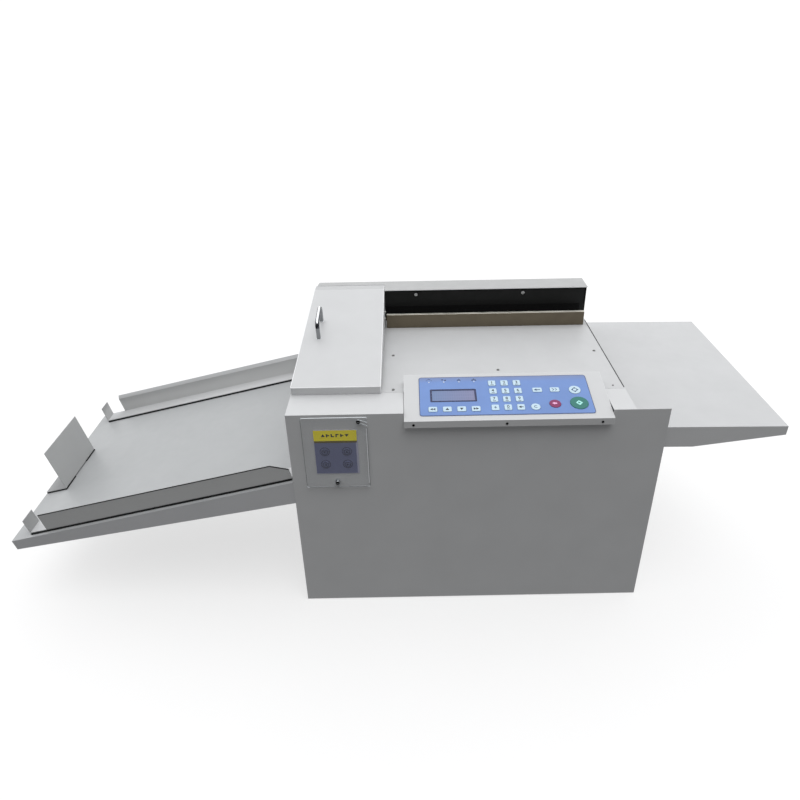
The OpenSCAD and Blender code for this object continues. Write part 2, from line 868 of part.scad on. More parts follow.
module mode_key_2() {
    key_block(mode_keys[1], mode_key_size);
}

module arrow_key_cap() {
    key_round(arrow_key, arrow_key_r, "white");
}

module clear_key_cap() {
    key_round(clear_key, clear_key_r, "white");
}

module stop_key_cap() {
    key_round(stop_key, stop_key_r, "mediumvioletred");
}

module start_key_cap() {
    key_round(start_key, start_key_r, "seagreen");
}

base_pan();
front_panel();
side_panels();
back_panel();
deck_plate();
rear_housing();
back_board();
side_fence();
feed_table();
delivery_tray();
control_box();
keypad_overlay();
lcd_display();
adjuster_plate();
swing_cover();
rubber_feet();
screws();
power_socket();
power_switch();
crease_cover();
cover_handle();
front_guide();
front_guide_magnet();
rear_guide();
rear_guide_magnet();
paper_stop();
stop_magnets();
unit_frame();
crease_blade();
infeed_roller();
infeed_pinch_roller();
outfeed_roller();
outfeed_pinch_roller();
drive_motor();
adjuster_button_1();
adjuster_button_2();
adjuster_button_3();
adjuster_button_4();
function_key_1();
function_key_2();
function_key_3();
function_key_4();
number_key_1();
number_key_2();
number_key_3();
number_key_4();
number_key_5();
number_key_6();
number_key_7();
number_key_8();
number_key_9();
number_key_left();
number_key_0();
number_key_right();
mode_key_1();
mode_key_2();
arrow_key_cap();
clear_key_cap();
stop_key_cap();
start_key_cap();
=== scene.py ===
"""Looks of a desktop paper creasing machine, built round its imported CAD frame.

Metres, in the frame's own axes: +X to the operator's right, +Y to the rear, +Z up. Most places are worked
out in millimetres from the cabinet's front left foot corner, or on one of the sloping faces named below.
"""

import json
import math

import bmesh
import bpy
from mathutils import Matrix, Vector

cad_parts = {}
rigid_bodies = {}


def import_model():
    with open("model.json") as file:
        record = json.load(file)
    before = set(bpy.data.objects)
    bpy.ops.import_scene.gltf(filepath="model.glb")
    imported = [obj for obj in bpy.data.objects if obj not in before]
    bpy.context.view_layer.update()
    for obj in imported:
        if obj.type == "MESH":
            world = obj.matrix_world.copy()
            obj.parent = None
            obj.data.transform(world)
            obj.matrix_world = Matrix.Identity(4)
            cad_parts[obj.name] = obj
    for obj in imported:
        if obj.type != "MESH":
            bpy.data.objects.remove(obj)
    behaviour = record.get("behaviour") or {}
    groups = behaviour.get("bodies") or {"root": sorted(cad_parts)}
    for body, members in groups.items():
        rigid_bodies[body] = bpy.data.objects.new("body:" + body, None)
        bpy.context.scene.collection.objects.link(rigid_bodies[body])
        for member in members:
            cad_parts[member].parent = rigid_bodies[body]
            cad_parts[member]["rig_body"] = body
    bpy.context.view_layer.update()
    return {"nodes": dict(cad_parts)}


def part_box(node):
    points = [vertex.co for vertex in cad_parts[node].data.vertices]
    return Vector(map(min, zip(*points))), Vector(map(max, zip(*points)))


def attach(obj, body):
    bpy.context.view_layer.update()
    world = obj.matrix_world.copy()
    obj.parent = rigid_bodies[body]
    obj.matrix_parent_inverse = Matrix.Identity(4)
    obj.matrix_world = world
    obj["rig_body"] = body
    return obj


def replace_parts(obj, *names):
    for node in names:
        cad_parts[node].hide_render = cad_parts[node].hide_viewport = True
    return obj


MM = 0.001
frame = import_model()

# ---------------------------------------------------------------- places and sizes

CORNER = Vector((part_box("front_panel")[0].x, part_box("front_panel")[0].y, 0))


def mm_box(node):
    """Lowest and highest corner of a CAD node, in cabinet millimetres."""
    low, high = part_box(node)
    return (low - CORNER) / MM, (high - CORNER) / MM


tray_slope = math.radians(13)
tray_h = 285
table_droop = math.radians(0.7)
table_h = 384
console_tilt = math.radians(12)
overlay_t = 0.8
key_top = 1.5  # above the console's sheet
key_shy = 0.02  # a legend's foot stands this far inside its key
print_foot = -0.05  # a print's foot, below the face that it lies on
panel_screw = 3.2  # head radius

deck_high = mm_box("deck_plate")[1]
console_low, console_high = mm_box("control_box")
cover_low, cover_high = mm_box("crease_cover")
back_high = mm_box("back_panel")[1]
board_low, board_high = mm_box("back_board")
fence_low, fence_high = mm_box("side_fence")
adjust_low = mm_box("adjuster_plate")[0]
deck_h = deck_high.z
cabinet_w = deck_high.x
cover_front_h = 14.5
cover_bend_y = 390  # where the cover's slope ends and its level rear part begins
cover_slope = math.atan((cover_high.z - deck_h - cover_front_h) / (cover_bend_y - cover_low.y))

CABINET = Matrix.Translation(CORNER) @ Matrix.Scale(MM, 4)
# x to the right, y up the slope to the rear, z out of the surface
CONSOLE = (
    CABINET
    @ Matrix.Translation((console_low.x, console_high.y, console_high.z))
    @ Matrix.Rotation(console_tilt, 4, "X")
)
COVER = (
    CABINET
    @ Matrix.Translation((cover_low.x, cover_low.y, deck_h + cover_front_h))
    @ Matrix.Rotation(cover_slope, 4, "X")
)
# x runs up the tray's slope to the cabinet, y to the rear, z out of its surface
TRAY = CABINET @ Matrix.Translation((0, 0, tray_h)) @ Matrix.Rotation(-tray_slope, 4, "Y")
TABLE = CABINET @ Matrix.Translation((cabinet_w, 0, table_h)) @ Matrix.Rotation(table_droop, 4, "Y")
# x to the right, y up, z out of the front; and the same for the back, seen from behind
FRONT = CABINET @ Matrix.Rotation(math.radians(90), 4, "X")
BACK = CABINET @ Matrix.Rotation(math.pi, 4, "Z") @ Matrix.Rotation(math.radians(90), 4, "X")
# x to the rear, y up, z out of the right side
RIGHT = CABINET @ Matrix.Rotation(math.radians(90), 4, "Z") @ Matrix.Rotation(math.radians(90), 4, "X")
# x to the front, y up, z out of the left side
LEFT = CABINET @ Matrix.Rotation(math.radians(-90), 4, "Z") @ Matrix.Rotation(math.radians(90), 4, "X")

# ---------------------------------------------------------------- materials


def srgb(r, g, b):
    """A screen colour, 0 to 255, as a linear one."""

    def linear(value):
        value /= 255
        return value / 12.92 if value <= 0.04045 else ((value + 0.055) / 1.055) ** 2.4

    return (linear(r), linear(g), linear(b), 1.0)


def scaled(colour, factor):
    """A colour made lighter or darker."""
    return tuple(min(1.0, c * factor) for c in colour[:3]) + (1.0,)


def new_shader(name, colour, roughness, metallic=0.0):
    """A material, its node tree and its shader, with the values that are the same all over."""
    made = bpy.data.materials.new(name)
    made.use_nodes = True
    made.diffuse_color = colour
    shader = made.node_tree.nodes["Principled BSDF"]
    shader.inputs["Base Color"].default_value = colour
    shader.inputs["Roughness"].default_value = roughness
    shader.inputs["Metallic"].default_value = metallic
    return made, made.node_tree, shader


def noise(tree, size_mm, detail, stretch=(1, 1, 1)):
    """Noise whose blots are about size_mm across, pulled out along an axis by stretch."""
    coords = tree.nodes.new("ShaderNodeTexCoord")
    mapping = tree.nodes.new("ShaderNodeMapping")
    mapping.inputs["Scale"].default_value = [1 / s for s in stretch]
    texture = tree.nodes.new("ShaderNodeTexNoise")
    texture.inputs["Scale"].default_value = 1 / (size_mm * MM)
    texture.inputs["Detail"].default_value = detail
    tree.links.new(coords.outputs["Object"], mapping.inputs["Vector"])
    tree.links.new(mapping.outputs["Vector"], texture.inputs["Vector"])
    return texture.outputs["Fac"]


def ranged(tree, value, low, high, from_low=0.3, from_high=0.7):
    """Maps a noise value to a range."""
    node = tree.nodes.new("ShaderNodeMapRange")
    node.inputs["From Min"].default_value = from_low
    node.inputs["From Max"].default_value = from_high
    node.inputs["To Min"].default_value = low
    node.inputs["To Max"].default_value = high
    tree.links.new(value, node.inputs["Value"])
    return node.outputs["Result"]


def mixed(tree, factor, first, second):
    """A mix of two colours, each a value or another node's output."""
    node = tree.nodes.new("ShaderNodeMix")
    node.data_type = "RGBA"
    tree.links.new(factor, node.inputs[0])
    for socket, colour in ((node.inputs[6], first), (node.inputs[7], second)):
        if isinstance(colour, bpy.types.NodeSocket):
            tree.links.new(colour, socket)
        else:
            socket.default_value = colour
    return node.outputs[2]


def bump(tree, shader, height, depth_mm):
    """Raises the surface by a noise height of up to depth_mm."""
    node = tree.nodes.new("ShaderNodeBump")
    node.inputs["Distance"].default_value = depth_mm * MM
    node.inputs["Strength"].default_value = 1.0
    tree.links.new(height, node.inputs["Height"])
    tree.links.new(node.outputs["Normal"], shader.inputs["Normal"])


def edge_mask(tree, radius_mm):
    """One along sharp edges, within radius_mm, and zero elsewhere, broken up by a noise."""
    rounded = tree.nodes.new("ShaderNodeBevel")
    rounded.samples = 4
    rounded.inputs["Radius"].default_value = radius_mm * MM
    flat = tree.nodes.new("ShaderNodeNewGeometry")
    dot = tree.nodes.new("ShaderNodeVectorMath")
    dot.operation = "DOT_PRODUCT"
    tree.links.new(rounded.outputs["Normal"], dot.inputs[0])
    tree.links.new(flat.outputs["Normal"], dot.inputs[1])
    edge = ranged(tree, dot.outputs["Value"], 1.0, 0.0, 0.86, 0.995)
    broken = ranged(tree, noise(tree, 9, 4), 0.35, 1.0)
    product = tree.nodes.new("ShaderNodeMath")
    product.operation = "MULTIPLY"
    tree.links.new(edge, product.inputs[0])
    tree.links.new(broken, product.inputs[1])
    return product.outputs["Value"]


def painted(name, colour, roughness=0.42, mottle=0.02, edge_wear_and_highlight=0.25, edge_mm=1.0, edge_gain=1.35):
    """Powder coat: fine orange peel, faint mottle, and edges paler, partly as rub wear and partly as a
    painted highlight.
    """
    made, tree, shader = new_shader(name, colour, roughness)
    shader.inputs["Specular IOR Level"].default_value = 0.4
    shades = scaled(colour, 1 - mottle), scaled(colour, 1 + mottle)
    body = mixed(tree, ranged(tree, noise(tree, 70, 3), 0, 1), *shades)
    # edges made paler: rub wear at small amounts, a painted highlight where the amount is raised
    rubbed_and_highlit = tree.nodes.new("ShaderNodeMath")
    rubbed_and_highlit.operation = "MULTIPLY"
    rubbed_and_highlit.inputs[1].default_value = edge_wear_and_highlight
    tree.links.new(edge_mask(tree, edge_mm), rubbed_and_highlit.inputs[0])
    coat = mixed(tree, rubbed_and_highlit.outputs["Value"], body, scaled(colour, edge_gain))
    tree.links.new(coat, shader.inputs["Base Color"])
    sheen = ranged(tree, noise(tree, 18, 2), roughness - 0.05, roughness + 0.06)
    tree.links.new(sheen, shader.inputs["Roughness"])
    bump(tree, shader, noise(tree, 0.9, 2), 0.02)
    return made


def plastic(name, colour, roughness, mottle=0.02, grain_mm=0.35, grain_depth=0.006):
    """Moulded plastic or printed foil with a fine texture."""
    made, tree, shader = new_shader(name, colour, roughness)
    shades = scaled(colour, 1 - mottle), scaled(colour, 1 + mottle)
    tree.links.new(mixed(tree, ranged(tree, noise(tree, 12, 3), 0, 1), *shades), shader.inputs["Base Color"])
    sheen = ranged(tree, noise(tree, 5, 2), roughness - 0.05, roughness + 0.07)
    tree.links.new(sheen, shader.inputs["Roughness"])
    bump(tree, shader, noise(tree, grain_mm, 2), grain_depth)
    return made


def metal(name, colour, roughness, brush=(1, 1, 1), scratch_mm=0.25, depth=0.004, mottle=0.06):
    """Bare or plated metal, its fine scratches pulled out along an axis by brush."""
    made, tree, shader = new_shader(name, colour, roughness, 1.0)
    lines = noise(tree, scratch_mm, 3, brush)
    shades = scaled(colour, 1 - mottle), scaled(colour, 1 + mottle)
    tree.links.new(mixed(tree, ranged(tree, lines, 0, 1), *shades), shader.inputs["Base Color"])
    worn = ranged(tree, noise(tree, 25, 3), roughness * 0.85, roughness * 1.25)
    tree.links.new(worn, shader.inputs["Roughness"])
    bump(tree, shader, lines, depth)
    return made


def rubber(name, colour, roughness=0.75):
    """Matt rubber with a dusty, slightly uneven skin; also the matt black of painted shade strips."""
    made, tree, shader = new_shader(name, colour, roughness)
    shader.inputs["Specular IOR Level"].default_value = 0.3
    dust = ranged(tree, noise(tree, 6, 4), 0, 1)
    tree.links.new(mixed(tree, dust, scaled(colour, 0.8), scaled(colour, 1.5)), shader.inputs["Base Color"])
    matt = ranged(tree, noise(tree, 2, 3), roughness - 0.1, roughness + 0.1)
    tree.links.new(matt, shader.inputs["Roughness"])
    bump(tree, shader, noise(tree, 0.5, 3), 0.03)
    return made


def printed_foil(name, colour, dark):
    """Blue key foil, greyer along its rear edge, with a fine matt texture."""
    made, tree, shader = new_shader(name, colour, 0.36)
    coords = tree.nodes.new("ShaderNodeTexCoord")
    place = tree.nodes.new("ShaderNodeSeparateXYZ")
    tree.links.new(coords.outputs["Object"], place.inputs["Vector"])
    rear = (CONSOLE @ Vector((0, -9, 0))).y
    edge = ranged(tree, place.outputs["Y"], 0.0, 0.6, rear - 14 * MM, rear)
    print_mottle = ranged(tree, noise(tree, 45, 2), 0, 1)
    body = mixed(tree, print_mottle, scaled(colour, 0.95), scaled(colour, 1.05))
    tree.links.new(mixed(tree, edge, body, dark), shader.inputs["Base Color"])
    tree.links.new(ranged(tree, noise(tree, 6, 2), 0.3, 0.44), shader.inputs["Roughness"])
    bump(tree, shader, noise(tree, 0.3, 2), 0.008)
    return made


def display_glass(name, first, second):
    """Grey-lilac window of a character display, with its two faint rows of character cells."""
    made, tree, shader = new_shader(name, first, 0.12)
    shader.inputs["Coat Weight"].default_value = 0.6
    coords = tree.nodes.new("ShaderNodeTexCoord")
    place = tree.nodes.new("ShaderNodeSeparateXYZ")
    tree.links.new(coords.outputs["Object"], place.inputs["Vector"])
    left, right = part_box("lcd_display")[0].x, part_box("lcd_display")[1].x
    across = ranged(tree, place.outputs["X"], 0, 1, left, right)
    mapping = tree.nodes.new("ShaderNodeMapping")
    mapping.inputs["Scale"].default_value = (1 / (3.9 * MM), 1 / (7.8 * MM), 0)
    tree.links.new(coords.outputs["Object"], mapping.inputs["Vector"])
    cells = tree.nodes.new("ShaderNodeTexBrick")
    cells.offset = 0
    cells.inputs["Scale"].default_value = 1
    cells.inputs["Mortar Size"].default_value = 0.12
    cells.inputs["Brick Width"].default_value = 1
    cells.inputs["Row Height"].default_value = 1
    tree.links.new(mapping.outputs["Vector"], cells.inputs["Vector"])
    faint = ranged(tree, cells.outputs["Fac"], 0.14, 0, 0, 1)
    body = mixed(tree, across, first, second)
    tree.links.new(mixed(tree, faint, body, scaled(first, 0.45)), shader.inputs["Base Color"])
    tree.links.new(ranged(tree, noise(tree, 15, 2), 0.09, 0.16), shader.inputs["Roughness"])
    return made


def clear_plastic(name, colour):
    """Clear sheet whose sawn edges are drawn nearly opaque and show whiter than its faces, partly as frosted
    sawn edges and partly as a painted highlight, with faint wipe marks.
    """
    made, tree, shader = new_shader(name, colour, 0.06)
    coords = tree.nodes.new("ShaderNodeTexCoord")
    facing = tree.nodes.new("ShaderNodeSeparateXYZ")
    tree.links.new(coords.outputs["Normal"], facing.inputs["Vector"])
    away = tree.nodes.new("ShaderNodeMath")
    away.operation = "ABSOLUTE"
    tree.links.new(facing.outputs["Y"], away.inputs[0])
    # edges nearly opaque and pale: frosted sawn edge and painted highlight
    tree.links.new(ranged(tree, away.outputs["Value"], 0.8, 0.06, 0.55, 0.95), shader.inputs["Alpha"])
    tree.links.new(ranged(tree, noise(tree, 20, 4, (3, 1, 1)), 0.04, 0.12), shader.inputs["Roughness"])
    bump(tree, shader, noise(tree, 30, 2), 0.01)
    return made


def ink(name, colour):
    """Screen-printed ink, slightly uneven; also used for a painted shadow line."""
    return plastic(name, colour, 0.5, mottle=0.12, grain_mm=0.2, grain_depth=0.002)


PAINT = painted("paint_light", srgb(197, 198, 199))
PAINT_DECK = painted("paint_deck", srgb(188, 189, 190))
# painted highlight: the cover's and console's edges are painted much paler
PAINT_COVER = painted("paint_cover", srgb(199, 200, 201), edge_wear_and_highlight=0.8, edge_mm=1.6)
# painted shade: a darker copy of the cover paint for the cover's level rear part
PAINT_COVER_REAR_SHADE = painted("paint_cover_rear_shade", srgb(179, 180, 181))
# painted highlight: near-white paint for rounded edges and the housing's front lip
PAINT_EDGE_HIGHLIGHT = painted("paint_edge_highlight", srgb(240, 241, 242))
# painted light: lighter paints for the table's and tray's folded edges, which face away from the light
PAINT_FLANGE_LIT = painted("paint_flange_lit", srgb(206, 207, 208))
PAINT_TRAY_FLANGE_LIT = painted("paint_tray_flange_lit", srgb(194, 195, 197))
# painted light: a lighter copy of the guide paint for the guides' upward faces
PAINT_FOOT_LIT = painted("paint_foot_lit", srgb(193, 194, 195))
# painted shade: a darker copy of the stop paint for its foot's upper faces
PAINT_STOP_FOOT_SHADE = painted("paint_stop_foot_shade", srgb(147, 148, 149))
# painted shade: a darker grey for the rear housing, its edges painted much paler as a highlight
PAINT_REAR_SHADED = painted("paint_rear_shaded", srgb(167, 168, 168), edge_wear_and_highlight=1.0, edge_mm=2.4, edge_gain=1.6)
PAINT_TRAY = painted("paint_tray", srgb(166, 168, 169))
PAINT_GUIDE = painted("paint_guide", srgb(187, 188, 188))
# painted shade: a darker copy of the guide paint for faces that face along the tray's slope
PAINT_TAB_SHADE = painted("paint_tab_shade", srgb(158, 159, 159))
PAINT_STOP = painted("paint_stop", srgb(172, 173, 173))
PAINT_DARK = painted("paint_dark_board", srgb(19, 20, 20), 0.6, mottle=0.08, edge_wear_and_highlight=0.6)
PAINT_MOTOR = painted("paint_motor", srgb(60, 61, 64), 0.5, mottle=0.06, edge_wear_and_highlight=0.8)
BRONZE = metal("bronze_anodised", srgb(124, 115, 99), 0.42, brush=(40, 1, 1))
STEEL = metal("plated_steel", srgb(176, 178, 180), 0.34, brush=(1, 12, 1))
BRIGHT = metal("machined_steel", srgb(205, 206, 208), 0.22, brush=(1, 20, 1))
CHROME = metal("chrome_plate", srgb(226, 228, 230), 0.07, scratch_mm=0.6, depth=0.001, mottle=0.02)
CHROME_SHADE = metal("chrome_plate_shade", srgb(80, 82, 86), 0.1, scratch_mm=0.6, depth=0.001, mottle=0.02)
# painted reflection: a mid-grey chrome for the handle's legs
CHROME_LEG_SHADE = metal("chrome_plate_leg_shade", srgb(150, 152, 154), 0.12, scratch_mm=0.6, depth=0.001, mottle=0.02)
NICKEL = metal("screw_nickel", srgb(196, 196, 194), 0.26, scratch_mm=0.4)
# painted highlight: a pale copy of the bronze for the fence's top faces
FENCE_TOP_HIGHLIGHT = metal("bronze_top_highlight", srgb(226, 224, 214), 0.5, brush=(40, 1, 1))
DARK_NICKEL = metal("screw_dark_nickel", srgb(120, 120, 118), 0.22, scratch_mm=0.4)
BLACK_ZINC = metal("screw_black_zinc", srgb(34, 34, 35), 0.4, scratch_mm=0.4)
# painted shade: dark for the screws' cross recesses
RECESS_SHADE = metal("screw_recess_shade", srgb(30, 30, 31), 0.6)
SCREW_WHITE = painted("screw_white", srgb(225, 226, 226), edge_wear_and_highlight=0.4)
FOIL = printed_foil("key_foil_blue", srgb(104, 136, 195), srgb(121, 127, 155))
FOIL_LINE = ink("foil_line", srgb(52, 60, 92))
DISPLAY = display_glass("display_window", srgb(92, 118, 164), srgb(114, 116, 155))
DISPLAY_RIM = plastic("display_rim", srgb(24, 34, 78), 0.3)
KEY = plastic("key_white", srgb(190, 214, 228), 0.34)
KEY_RED = plastic("key_red", srgb(128, 22, 84), 0.34)
KEY_GREEN = plastic("key_green", srgb(22, 112, 102), 0.34)
MARK = ink("legend_ink", srgb(14, 18, 38))
MARK_BLUE = ink("legend_blue", srgb(40, 70, 110))
MARK_PINK = ink("legend_pink", srgb(240, 180, 220))
MARK_CYAN = ink("legend_cyan", srgb(168, 232, 226))
MARK_WHITE = ink("legend_white", srgb(214, 222, 228))
YELLOW = plastic("label_yellow", srgb(255, 237, 22), 0.45)
# painted shadow: the dark line under the yellow header
YELLOW_SHADOW = ink("label_yellow_shadow", srgb(100, 88, 26))
WINDOW = plastic("adjuster_window", srgb(109, 113, 147), 0.4)
WINDOW_DARK = ink("adjuster_window_ink", srgb(52, 52, 78))
BORDER = plastic("adjuster_border", srgb(177, 177, 198), 0.45)
BUTTON = plastic("button_grey", srgb(96, 100, 132), 0.4)
CLEAR = clear_plastic("clear_sheet", srgb(214, 220, 224))
RUBBER = rubber("rubber_foot", srgb(38, 38, 38))
TYRE = rubber("rubber_tyre", srgb(62, 62, 66))
# black for the magnets, and also painted shade: the dark line along the front guide's top
MAGNET_AND_SHADE = rubber("magnet_and_shade_strip", srgb(9, 9, 10), 0.6)
# painted shade: black for strips laid on the dark board
SHADE_BLACK = rubber("painted_shade_black", srgb(5, 5, 6), 0.9)
# painted highlight and painted shade: fine lines along the clear cover's edges
EDGE_HIGHLIGHT = plastic("clear_edge_highlight", srgb(236, 238, 240), 0.3)
EDGE_SHADE = plastic("clear_edge_shade", srgb(120, 122, 124), 0.3)
BLACK = plastic("black_plastic", srgb(30, 30, 32), 0.42, mottle=0.05)

# ---------------------------------------------------------------- making pieces


def finished(name, bm, body, materials, smooth=35):
    """Turns a bmesh into a piece that rides on a body."""
    mesh = bpy.data.meshes.new(name)
    bmesh.ops.recalc_face_normals(bm, faces=bm.faces)
    bm.to_mesh(mesh)
    bm.free()
    for material in materials if isinstance(materials, (list, tuple)) else [materials]:
        mesh.materials.append(material)
    mesh.polygons.foreach_set("use_smooth", [True] * len(mesh.polygons))
    mesh.set_sharp_from_angle(angle=math.radians(smooth))
    piece = bpy.data.objects.new(name, mesh)
    bpy.context.scene.collection.objects.link(piece)
    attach(piece, body)
    return piece


def rounded_edges(piece, width_mm, segments=2, by_weight=False):
    """Rounds a piece's sharp edges."""
    bevel = piece.modifiers.new("rounded_edges", "BEVEL")
    bevel.width = width_mm * MM
    bevel.segments = segments
    bevel.limit_method = "WEIGHT" if by_weight else "ANGLE"
    bevel.angle_limit = math.radians(40)
    bevel.use_clamp_overlap = True
    bevel.harden_normals = True
    return piece


def body_of(node):
    """The CAD body that a node belongs to."""
    return frame["nodes"][node]["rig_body"]


def clean_copy(node):
    """A node's mesh with its triangles joined back into flat faces."""
    bm = bmesh.new()
    bm.from_mesh(frame["nodes"][node].data)
    bmesh.ops.remove_doubles(bm, verts=bm.verts, dist=0.002 * MM)
    bmesh.ops.dissolve_limit(bm, angle_limit=math.radians(0.4), verts=bm.verts, edges=bm.edges)
    if node.endswith("_guide"):  # the rounding would fold over itself in their concave faces
        bmesh.ops.connect_verts_concave(bm, faces=bm.faces)
    return bm


def weigh_edges(bm, width_mm):
    """Weighs the outer edges for rounding: full between wide faces, a third of the sheet at its rims."""
    layer = bm.edges.layers.float.new("bevel_weight_edge")
    for edge in bm.edges:
        if len(edge.link_faces) != 2 or not edge.is_convex or edge.calc_face_angle(0) < math.radians(40):
            continue
        thin = min(2 * f.calc_area() / sum(e.calc_length() for e in f.edges) for f in edge.link_faces)
        edge[layer] = min(1.0, 0.3 * thin / MM / width_mm)


def dressed(node, materials, width_mm, segments=2, edge_index=None):
    """Replaces a node with a rounded, finished copy; its rounded edges may take another material, used for a
    painted highlight.
    """
    bm = clean_copy(node)
    weigh_edges(bm, width_mm)
    piece = finished(node + "_finished", bm, body_of(node), materials)
    rounded_edges(piece, width_mm, segments, by_weight=True)
    if edge_index is not None:
        piece.modifiers["rounded_edges"].material = edge_index
    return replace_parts(piece, node)


def other_faces(piece, place, chosen, index=1):
    """Gives another material to the faces that a test on middle and normal, in a local frame, picks."""
    back = place.inverted()
    turn = back.to_3x3().normalized()
    for face in piece.data.polygons:
        if chosen(back @ face.center, turn @ face.normal):
            face.material_index = index


def prism(bm, place, outline, low, high, index=0):
    """Adds a plate with that outline between two heights of a local frame."""
    rings = [[bm.verts.new(place @ Vector((x, y, z))) for x, y in outline] for z in (low, high)]
    faces = [bm.faces.new(rings[0][::-1]), bm.faces.new(rings[1])]
    count = len(outline)
    for i in range(count):
        j = (i + 1) % count
        faces.append(bm.faces.new((rings[0][i], rings[0][j], rings[1][j], rings[1][i])))
    for face in faces:
        face.material_index = index


def turned(bm, place, profile, steps, index=0):
    """Adds a turned shape from radius and height pairs, closed at both ends."""
    rings = []
    for radius, height in profile:
        if radius == 0:
            rings.append([bm.verts.new(place @ Vector((0, 0, height)))])
            continue
        angles = [2 * math.pi * i / steps for i in range(steps)]
        points = [(radius * math.cos(a), radius * math.sin(a), height) for a in angles]
        rings.append([bm.verts.new(place @ Vector(point)) for point in points])
    for lower, upper in zip(rings, rings[1:]):
        for i in range(steps):
            j = (i + 1) % steps
            corners = [lower[i % len(lower)], lower[j % len(lower)]]
            corners += [upper[j % len(upper)], upper[i % len(upper)]]
            face = bm.faces.new(list(dict.fromkeys(corners)))
            face.material_index = index
    for ring in (rings[0], rings[-1]):
        if len(ring) > 1:
            bm.faces.new(ring).material_index = index


def rectangle(width, height, x=0.0, y=0.0):
    """Outline of a rectangle about a middle."""
    w, h = width / 2, height / 2
    return [(x - w, y - h), (x + w, y - h), (x + w, y + h), (x - w, y + h)]


def arc(radius, start, end, steps, x=0.0, y=0.0):
    """Points along an arc, angles in degrees."""
    angles = [math.radians(start + (end - start) * i / steps) for i in range(steps + 1)]
    return [(x + radius * math.cos(a), y + radius * math.sin(a)) for a in angles]


def circle(radius, points=24, x=0.0, y=0.0):
    """Outline of a circle."""
    return arc(radius, 0, 360 - 360 / points, points - 1, x, y)


def rounded_rectangle(width, height, corner):
    """Outline of a rectangle with round corners."""
    w, h = width / 2 - corner, height / 2 - corner
    points = []
    for i, (sx, sy) in enumerate([(1, 1), (-1, 1), (-1, -1), (1, -1)]):
        points += arc(corner, 90 * i, 90 * i + 90, 6, sx * w, sy * h)
    return points


def frame_band(bm, place, outer, inner, low, high):
    """Adds a closed frame between two outlines of equal point counts."""
    count = len(outer)
    levels = ((outer, low), (outer, high), (inner, high), (inner, low))
    rings = [[bm.verts.new(place @ Vector((x, y, z))) for x, y in line] for line, z in levels]
    for a, b in zip(rings, rings[1:] + rings[:1]):
        for i in range(count):
            j = (i + 1) % count
            bm.faces.new((a[i], a[j], b[j], b[i]))


def moved(outlines, x, y, turn=0.0, size=1.0):
    """Outlines turned by degrees, scaled and moved."""
    c, s = size * math.cos(math.radians(turn)), size * math.sin(math.radians(turn))
    return [[(x + c * px - s * py, y + s * px + c * py) for px, py in line] for line in outlines]


# ---------------------------------------------------------------- dressed nodes


def folded_sheet(node, paints, place):
    """A table or tray: one paint on its top, and a lighter paint on its folded edges as painted light."""
    sheet = dressed(node, paints, 1.4, 3)
    # painted light: faces that stand up take the lighter paint
    other_faces(sheet, place, lambda middle, normal: abs(normal.z) < 0.5)


def cabinet_sheets():
    """Panels, deck, housing, fence, table, tray and console box."""
    dressed("front_panel", PAINT, 1.8, 3)
    dressed("side_panels", PAINT, 1.2)
    dressed("back_panel", PAINT, 0.8)
    dressed("deck_plate", PAINT_DECK, 1.2)
    # painted highlight: the housing's rounded edges and front lip take the near-white edge paint
    housing = dressed("rear_housing", [PAINT_REAR_SHADED, PAINT_EDGE_HIGHLIGHT], 2.0, 3, edge_index=1)
    other_faces(housing, CABINET, lambda middle, normal: normal.y < -0.7 and middle.z > back_high.z + 60)
    dressed("back_board", PAINT_DARK, 0.8)
    fence = dressed("side_fence", [BRONZE, FENCE_TOP_HIGHLIGHT], 0.8)
    # painted highlight: the fence's top faces take the pale bronze
    other_faces(fence, CABINET, lambda middle, normal: normal.z > 0.7 and middle.z > fence_high.z - 1)
    dressed("base_pan", STEEL, 1.0)
    folded_sheet("feed_table", [PAINT_DECK, PAINT_FLANGE_LIT], TABLE)
    folded_sheet("delivery_tray", [PAINT_TRAY, PAINT_TRAY_FLANGE_LIT], TRAY)
    # painted highlight: the console box's rounded edges take the near-white edge paint
    dressed("control_box", [PAINT_COVER, PAINT_EDGE_HIGHLIGHT], 1.4, 3, edge_index=1)


def console_nodes():
    """Key foil, display and every key."""
    dressed("keypad_overlay", FOIL, 0.25)
    dressed("lcd_display", DISPLAY, 0.3)
    for node in frame["nodes"]:
        if node.startswith(("function_key", "number_key", "mode_key", "arrow_key", "clear_key")):
            dressed(node, KEY, 0.7, 3)
    dressed("stop_key_cap", KEY_RED, 0.8, 3)
    dressed("start_key_cap", KEY_GREEN, 0.8, 3)


